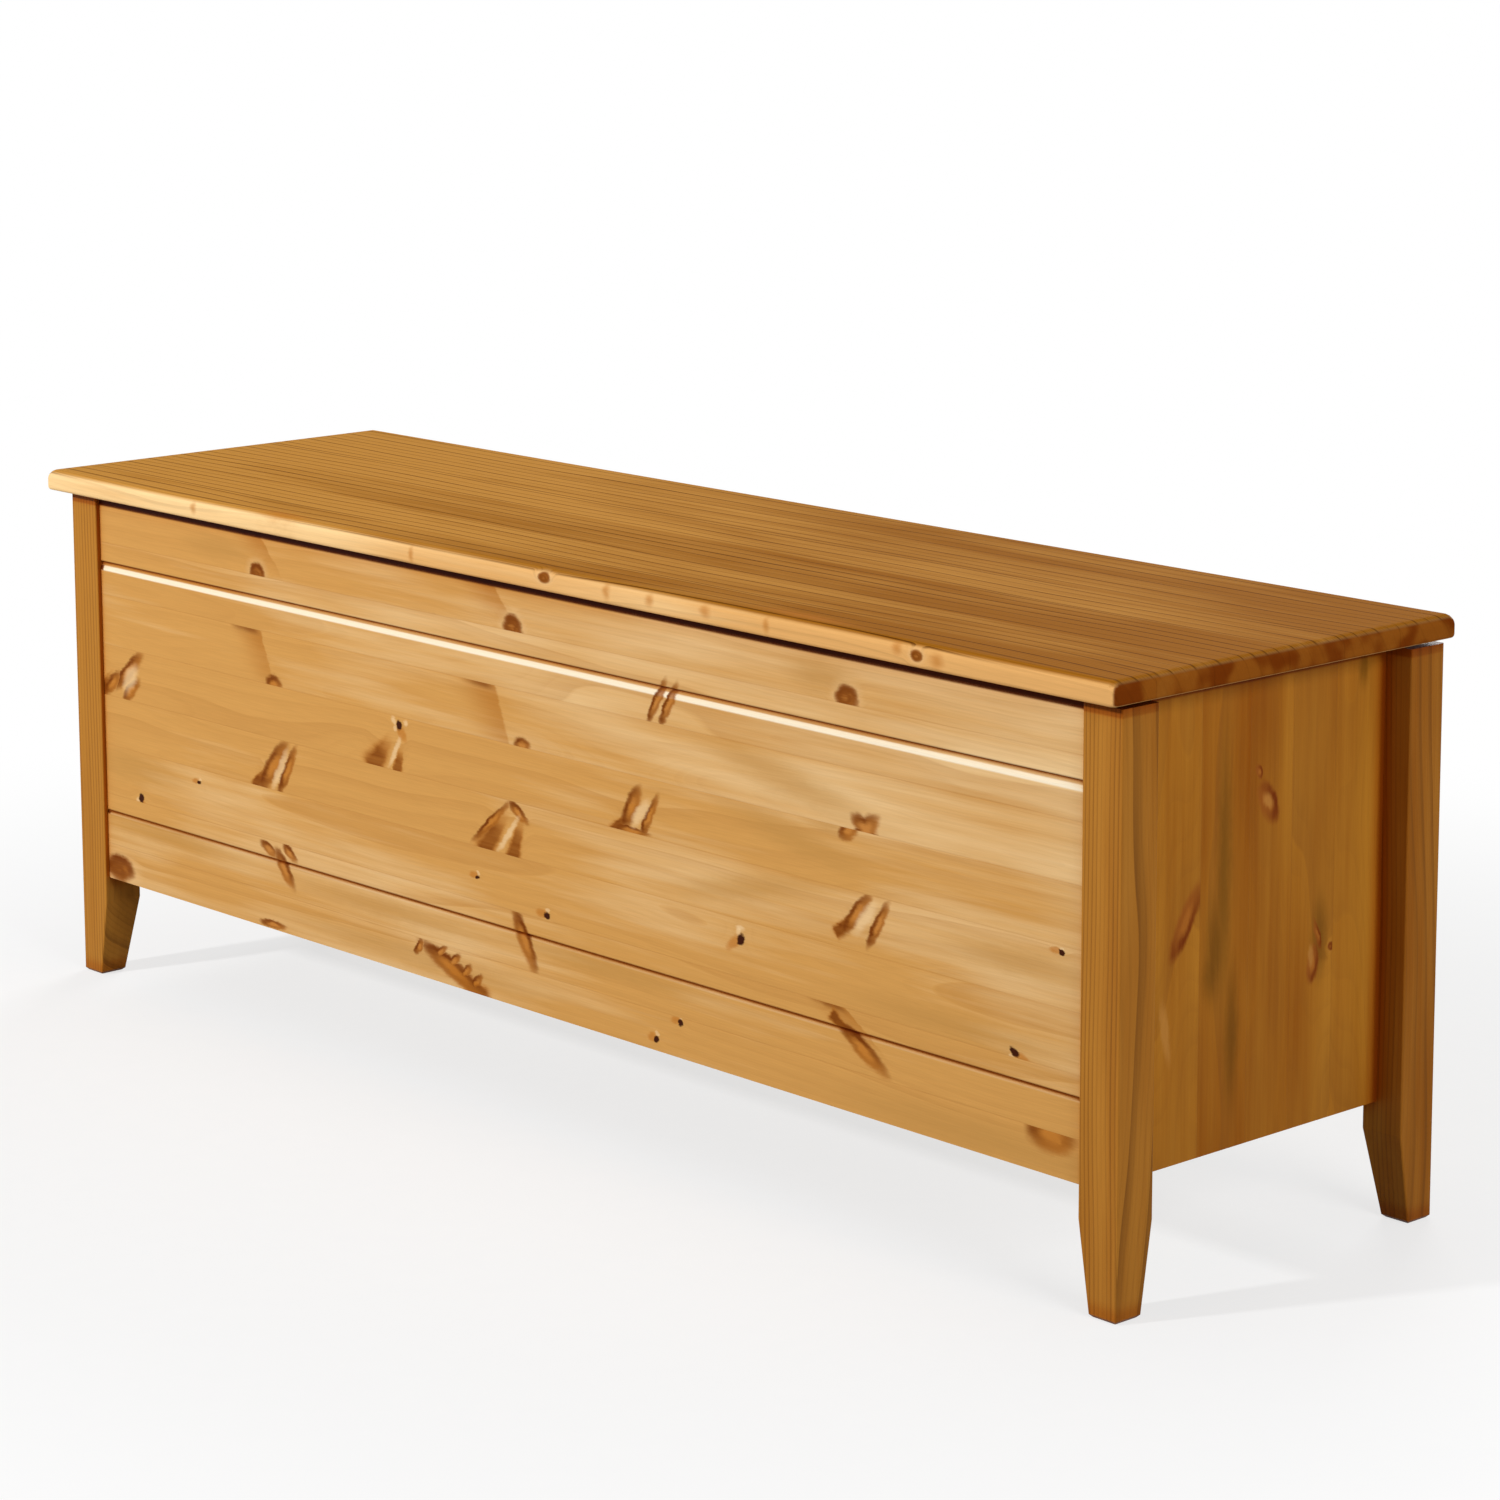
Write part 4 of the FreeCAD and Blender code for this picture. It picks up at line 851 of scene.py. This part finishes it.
def screw_tree():
    """Nodes that put a countersunk, cross-slotted screw on every point, with its head outwards."""
    tree = bpy.data.node_groups.new("countersunk_screw", "GeometryNodeTree")
    tree.is_modifier = True
    tree.interface.new_socket("Points", in_out="INPUT", socket_type="NodeSocketGeometry")
    for name in SCREW_INPUTS:
        tree.interface.new_socket(name, in_out="INPUT", socket_type="NodeSocketFloat").subtype = "DISTANCE"
    tree.interface.new_socket("Seed", in_out="INPUT", socket_type="NodeSocketInt")
    tree.interface.new_socket("Material", in_out="INPUT", socket_type="NodeSocketMaterial")
    tree.interface.new_socket("Screws", in_out="OUTPUT", socket_type="NodeSocketGeometry")
    wire = Wire(tree)
    group = wire.node("NodeGroupInput", {}, {}).socket.node
    points, head, head_depth, shank, length, slot_depth, pitch, seed, material = (
        Wire(tree, socket) for socket in group.outputs[:9])

    body = [cone(wire, -1 * head_depth, shank * 0.5, head_depth, head * 0.5),
            cone(wire, -1 * length, shank * TIP, length - head_depth * 0.5, shank * ROOT)]
    bars = [bar(wire, head * SLOT_LENGTH, head * SLOT_WIDTH, slot_depth),
            bar(wire, head * SLOT_WIDTH, head * SLOT_LENGTH, slot_depth)]
    exactly = {"solver": "EXACT"}
    body = wire.node("GeometryNodeMeshBoolean", {"operation": "UNION", **exactly}, {"Mesh 2": body})
    body = wire.node("GeometryNodeMeshBoolean", {"operation": "DIFFERENCE", **exactly},
                     {"Mesh 1": body, "Mesh 2": bars})
    rise = length - head_depth * 1.6
    helix = wire.node("GeometryNodeCurveSpiral", {}, {
        "Resolution": TURN_SIDES, "Rotations": rise / pitch, "Start Radius": shank * THREAD_START,
        "End Radius": shank * ROOT, "Height": rise, "Reverse": True})
    ridge = wire.node("GeometryNodeCurvePrimitiveCircle", {},
                      {"Resolution": RIDGE_SIDES, "Radius": shank * RIDGE})
    thread = wire.node("GeometryNodeCurveToMesh", {},
                       {"Curve": helix, "Profile Curve": ridge, "Fill Caps": True})
    thread = lifted(wire, thread, shank * THREAD_START - length)
    screw = wire.node("GeometryNodeJoinGeometry", {}, {"Geometry": [body, thread]})

    way = wire.node("GeometryNodeInputNamedAttribute", {"data_type": "FLOAT_VECTOR"}, {"Name": "way"})
    stand = wire.node("FunctionNodeAlignRotationToVector", {"axis": "Z"}, {"Vector": way})
    angle = wire.node("FunctionNodeRandomValue", {"data_type": "FLOAT"}, {3: math.tau / 4, "Seed": seed}, 1)
    spin = wire.node("FunctionNodeAxisAngleToRotation", {}, {"Axis": (0.0, 0.0, 1.0), "Angle": angle})
    turn = wire.node("FunctionNodeRotateRotation", {"rotation_space": "LOCAL"},
                     {"Rotation": stand, "Rotate By": spin})
    copies = wire.node("GeometryNodeInstanceOnPoints", {},
                       {"Points": points, "Instance": screw, "Rotation": turn})
    solid = wire.node("GeometryNodeRealizeInstances", {}, {"Geometry": copies})
    plated = wire.node("GeometryNodeSetMaterial", {}, {"Geometry": solid, "Material": material})
    wire.node("NodeGroupOutput", {}, {"Screws": plated})
    return tree


def lifted(wire, shape, height):
    """A shape moved up by a height."""
    place = wire.node("ShaderNodeCombineXYZ", {}, {"Z": height})
    return wire.node("GeometryNodeTransform", {}, {"Geometry": shape, "Translation": place})


def cone(wire, bottom, low_radius, height, high_radius):
    """A blunt cone that stands at the height bottom."""
    made = wire.node("GeometryNodeMeshCone", {}, {
        "Vertices": SCREW_SIDES, "Radius Bottom": low_radius, "Radius Top": high_radius, "Depth": height})
    return lifted(wire, made, bottom)


def bar(wire, length, width, depth):
    """A bar centred on the head's face, which cuts one stroke of the cross slot to its depth."""
    size = wire.node("ShaderNodeCombineXYZ", {}, {"X": length, "Y": width, "Z": depth * 2})
    return wire.node("GeometryNodeMeshCube", {}, {"Size": size})


def turn_screws(tree, node, seed, material):
    """Replaces the screws of a CAD node by detailed ones at the same places and of the same size."""
    places = [screw_place(corners) for corners in loose_solids(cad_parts[node].data)]
    heads, ways, diameters, lengths = zip(*places)
    mesh = bpy.data.meshes.new(f"{node}_places")
    mesh.from_pydata(heads, [], [])
    outward = mesh.attributes.new("way", "FLOAT_VECTOR", "POINT")
    outward.data.foreach_set("vector", [part for way in ways for part in way])
    carrier = new_object(f"{node}_places", mesh)
    modifier = carrier.modifiers.new("countersunk_screw", "NODES")
    modifier.node_group = tree
    values = {name: min(diameters) * share for name, share in SCREW_SHARES.items()}
    values.update({"Length": min(lengths), "Seed": seed, "Material": material})
    for item in tree.interface.items_tree:
        if item.name in values:
            modifier[item.identifier] = values[item.name]
    evaluated = carrier.evaluated_get(bpy.context.evaluated_depsgraph_get())
    shape = bpy.data.meshes.new_from_object(evaluated)
    shape.materials.pop(index=0)
    piece = new_object(f"threaded_{node}", shape)
    bpy.data.objects.remove(carrier)
    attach(piece, SCREW_BODIES[node])
    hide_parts(node)


# ---------------------------------------------------------------- pieces

class CHEST_OT_front_panel(bpy.types.Operator):
    """Finishes the front panel, with its own knots and grooves"""

    bl_idname = "chest.front_panel"
    bl_label = "Front panel"

    def execute(self, context):
        # drift and foot make the left and the lower right warmer and darker: painted shade where the panel
        # gets less light, over the wood's own tones. The grooves get painted light.
        cut = Cut(X, Z, FRONT_JOINTS, seed=3.0, line=0.15, drift=(0.65, -0.05), foot=0.7, specular=0.03)
        tones = tones_of(context.scene.chest_pine, "panel")
        tones["milled"] = tuple(context.scene.chest_pine.milled)
        dress(("front_panel",), pine_finish("pine_panel_front", tones, cut, FRONT_KNOTS, painted_groove_light))
        return {"FINISHED"}


class CHEST_OT_back_panel(bpy.types.Operator):
    """Finishes the back panel"""

    bl_idname = "chest.back_panel"
    bl_label = "Back panel"

    def execute(self, context):
        cut = Cut(X, Z, FRONT_JOINTS, seed=5.0, line=0.2, specular=0.03)
        knots = scattered_knots(8, (-580, 580), FRONT_JOINTS, 30)
        tones = tones_of(context.scene.chest_pine, "panel")
        dress(("back_panel",), pine_finish("pine_panel_back", tones, cut, knots))
        return {"FINISHED"}


class CHEST_OT_side_panels(bpy.types.Operator):
    """Finishes the two side panels, whose staves stand upright"""

    bl_idname = "chest.side_panels"
    bl_label = "Side panels"

    def execute(self, context):
        pine = context.scene.chest_pine
        # The side tones are partly the wood's own and partly painted shade, darker and more saturated than
        # the front's.
        tones = tones_of(pine, "side", 0.75)
        for name in ("shade", "core", "knot", "fleck"):
            tones[name] = tuple(getattr(pine, f"side_{name}"))
        right = Cut(Z, Y, SIDE_JOINTS, seed=7.0, taper=0.05, lid_height_shade=Cut.corner, specular=0.04)
        left = dataclasses.replace(right, seed=17.0)
        strewn = scattered_knots(4, (110, 420), SIDE_JOINTS, 10)
        dress(("side_panel_right",), pine_finish("pine_side_right", tones, right, SIDE_KNOTS))
        dress(("side_panel_left",), pine_finish("pine_side_left", tones, left, strewn))
        return {"FINISHED"}


class CHEST_OT_legs(bpy.types.Operator):
    """Finishes the four legs"""

    bl_idname = "chest.legs"
    bl_label = "Legs"

    def execute(self, context):
        tones = tones_of(context.scene.chest_pine, "leg", 0.5)
        for number, (leg, warmer) in enumerate(LEGS.items()):
            # corner and lid_height_shade are the tints of the painted shade in the legs' corners and under
            # the lid.
            cut = Cut(Z, X, (0,), seed=9.0 + number, ring=4.0, line=0.5, thin=0.5, pith_deep=40.0,
                      luck_deep=80.0, drift=(warmer, warmer), corner=(1.0, 0.75, 0.4),
                      lid_height_shade=(0.75, 0.55, 0.35), specular=0.04)
            dress((leg,), pine_finish(f"pine_{leg}", tones, cut))
        return {"FINISHED"}


class CHEST_OT_lid(bpy.types.Operator):
    """Finishes the lid board, straight-grained on top and painted paler at its edges as a lit copy of its
    wood
    """

    bl_idname = "chest.lid"
    bl_label = "Lid"

    def execute(self, context):
        pine = context.scene.chest_pine
        tones = tones_of(pine, "lid")
        tones.update({"edges": tones_of(pine, "edge"), "line": tuple(pine.lid_line), "end": LID_END,
                      "dark_end": DARK_LID_END, "shade": tones["core"]})
        # The lid's painted shade tint darkens its underside round the battens.
        cut = Cut(X, Y, LID_JOINTS, seed=11.0, ring=11.0, line=1.0, thin=0.78, pith_side=900.0,
                  luck_side=60.0, pith_deep=0.0, luck_deep=20.0, taper=0.0, sway=16.0, drift=(-0.8, 0.5),
                  lid_height_shade=(0.6, 0.45, 0.3), gloss=0.7, specular=0.005)
        dress(("lid_board",), pine_finish("pine_lid_top", tones, cut, LID_KNOTS))
        return {"FINISHED"}


class CHEST_OT_inner_wood(bpy.types.Operator):
    """Finishes the battens, cleats, bearer, floor and dowels"""

    bl_idname = "chest.inner_wood"
    bl_label = "Inner wood"

    def execute(self, context):
        pine = context.scene.chest_pine
        inner = tones_of(pine, "inner")
        short = Cut(Y, X, (-250, 250), seed=13.0, ring=3.5, lid_height_shade=Cut.corner, gloss=0.6)
        long = Cut(X, Y, (0,), seed=15.0, ring=3.5, gloss=0.6)
        dress(BATTENS + SHORT_CLEATS + ("floor_bearer",), pine_finish("pine_inner_short", inner, short))
        dress(LONG_CLEATS, pine_finish("pine_inner_long", inner, long))
        veneer = Cut(X, Y, (1000,), seed=19.0, ring=6.0, line=0.35, pith_deep=260.0, luck_side=200.0,
                     taper=0.06, sway=40.0, gloss=0.62)
        dress(("floor_panel",), pine_finish("plywood_floor", tones_of(pine, "ply"), veneer))
        dress(DOWELS, beech("beech_dowel"))
        return {"FINISHED"}


class CHEST_OT_screws(bpy.types.Operator):
    """Makes the screws of the cleats, floor, battens, hinges and stays"""

    bl_idname = "chest.screws"
    bl_label = "Screws"

    def execute(self, context):
        tree = screw_tree()
        material = plated_steel("screw_plate", ink(204, 196, 176), 0.30, Y)
        for seed, node in enumerate(SCREW_BODIES):
            turn_screws(tree, node, seed, material)
        bpy.data.node_groups.remove(tree)
        return {"FINISHED"}


class CHEST_OT_hardware(bpy.types.Operator):
    """Finishes the hinges, stays, cam fittings and lid pads"""

    bl_idname = "chest.hardware"
    bl_label = "Hardware"

    def execute(self, context):
        dress(HINGE_PIECES, plated_steel("hinge_plate", ink(206, 202, 192), 0.34, X))
        dress(STAY_PIECES, plated_steel("stay_plate", ink(198, 198, 196), 0.30, Z))
        dress(("cam_bolts", "cam_discs"), cast_zinc("cam_zinc"))
        dress(("lid_pads",), soft_rubber("pad_rubber"))
        return {"FINISHED"}


# ---------------------------------------------------------------- stage

LAMPS = {  # place and size
    "key": ((-1.4, -4.4, 2.35), 0.3),
    "top": ((0.2, 0.2, 3.2), 1.5),
    "fill": ((3.7, -0.5, 1.7), 1.6),
    "back": ((-2.2, 3.6, 2.4), 2.0),
}
FLOOR_HALF = 30.0
FLOOR_LIT = (0.35, 0.35, 0.35)
FLOOR_SEEN = ((0.78, 0.78, 0.78), (0.82, 0.82, 0.82))
FLOOR_WHITENESS = 0.7
FLOOR_FADE = (0.6, 1.5)


class CHEST_OT_stage(bpy.types.Operator):
    """Sets up the floor, the lamps, the world and the camera"""

    bl_idname = "chest.stage"
    bl_label = "Stage"

    def execute(self, context):
        settings = context.scene.chest_stage
        set_camera(context.scene, settings)
        lay_floor()
        for name, (place, size) in LAMPS.items():
            hang_lamp(f"{name}_lamp", place, size, getattr(settings, f"{name}_power"))
        light_world(context.scene, settings.ambient)
        context.scene.view_settings.view_transform = "Standard"
        return {"FINISHED"}


def set_camera(scene, settings):
    """A camera at the place, angle and lens of the settings."""
    data = bpy.data.cameras.new("chest_camera")
    data.lens = settings.lens
    data.shift_y = settings.shift
    camera = new_object("chest_camera", data)
    turn = (Matrix.Rotation(-settings.camera_yaw, 4, "Z")
            @ Matrix.Rotation(math.pi / 2 + settings.camera_pitch, 4, "X")
            @ Matrix.Rotation(settings.camera_roll, 4, "Z"))
    camera.matrix_world = Matrix.Translation(settings.camera_place) @ turn
    scene.camera = camera


def hang_lamp(name, place, size, power):
    """A square soft lamp turned towards the middle of the chest."""
    data = bpy.data.lights.new(name, "AREA")
    data.size = size
    data.energy = power
    low, high = CAD_BOX
    line = (Vector(low) + Vector(high)) / 2 - Vector(place)
    turn = line.to_track_quat("-Z", "Y").to_matrix().to_4x4()
    new_object(name, data).matrix_world = Matrix.Translation(place) @ turn


def light_world(scene, ambient):
    """An even light, with white where the camera, gloss or glass sees it."""
    world = bpy.data.worlds.new("studio")
    world.use_nodes = True
    world.node_tree.nodes.clear()
    wire = Wire(world.node_tree)
    strength = white_rays(wire).blend(ambient, 1.0)
    light = wire.node("ShaderNodeBackground", {}, {"Color": WHITE, "Strength": strength})
    wire.node("ShaderNodeOutputWorld", {}, {"Surface": light})
    scene.world = world


def white_rays(wire):
    """1 for what the camera, gloss or glass sees, and 0 for the light that falls on things."""
    camera, gloss, glass = (wire.node("ShaderNodeLightPath", {}, {}, f"Is {kind} Ray")
                            for kind in ("Camera", "Glossy", "Transmission"))
    return camera.math("MAXIMUM", gloss).math("MAXIMUM", glass)


def lay_floor():
    """A wide pale floor that keeps the chest's shadow and fades to white further out."""
    mesh = bpy.data.meshes.new("floor")
    corners = [(x * FLOOR_HALF, y * FLOOR_HALF, 0) for x, y in ((-1, -1), (1, -1), (1, 1), (-1, 1))]
    mesh.from_pydata(corners, [], [(0, 1, 2, 3)])
    floor = new_object("floor", mesh)
    material, wire = new_finish("floor_paint")
    point = wire.node("ShaderNodeTexCoord", {}, {}, "Object")
    far = point.math("LENGTH", out=1).rise(*FLOOR_FADE)
    grain = noise(point, 40.0, 4.0)
    seen = white_rays(wire)
    colour = seen.blend(FLOOR_LIT, grain.blend(*FLOOR_SEEN))
    paint = wire.node("ShaderNodeBsdfDiffuse", {}, {"Color": colour})
    white = wire.node("ShaderNodeEmission", {}, {"Color": WHITE, "Strength": 1.0})
    whiteness = seen * (FLOOR_WHITENESS + (1 - FLOOR_WHITENESS) * far)
    mixed = wire.node("ShaderNodeMixShader", {}, {0: whiteness, 1: paint, 2: white})
    wire.node("ShaderNodeOutputMaterial", {}, {"Surface": mixed})
    mesh.materials.append(material)


# ---------------------------------------------------------------- panel and steps

class CHEST_PT_panel(bpy.types.Panel):
    """Lists the chest's settings and its steps"""

    bl_label = "Blanket Chest"
    bl_idname = "CHEST_PT_panel"
    bl_space_type = "VIEW_3D"
    bl_region_type = "UI"
    bl_category = "Chest"

    def draw(self, context):
        for settings in (context.scene.chest_pine, context.scene.chest_stage):
            box = self.layout.box()
            for name in settings.__annotations__:
                box.prop(settings, name)
        for step in STEPS:
            self.layout.operator(step.bl_idname)


STEPS = (CHEST_OT_front_panel, CHEST_OT_back_panel, CHEST_OT_side_panels, CHEST_OT_legs, CHEST_OT_lid,
         CHEST_OT_inner_wood, CHEST_OT_screws, CHEST_OT_hardware, CHEST_OT_stage)
CLASSES = (ChestPineSettings, ChestStageSettings, *STEPS, CHEST_PT_panel)


def register():
    for kind in CLASSES:
        bpy.utils.register_class(kind)
    bpy.types.Scene.chest_pine = bpy.props.PointerProperty(type=ChestPineSettings)
    bpy.types.Scene.chest_stage = bpy.props.PointerProperty(type=ChestStageSettings)


def unregister():
    del bpy.types.Scene.chest_stage
    del bpy.types.Scene.chest_pine
    for kind in reversed(CLASSES):
        bpy.utils.unregister_class(kind)


def main():
    register()
    for step in STEPS:
        getattr(bpy.ops.chest, step.bl_idname.split(".")[1])()


if __name__ == "__main__":
    main()
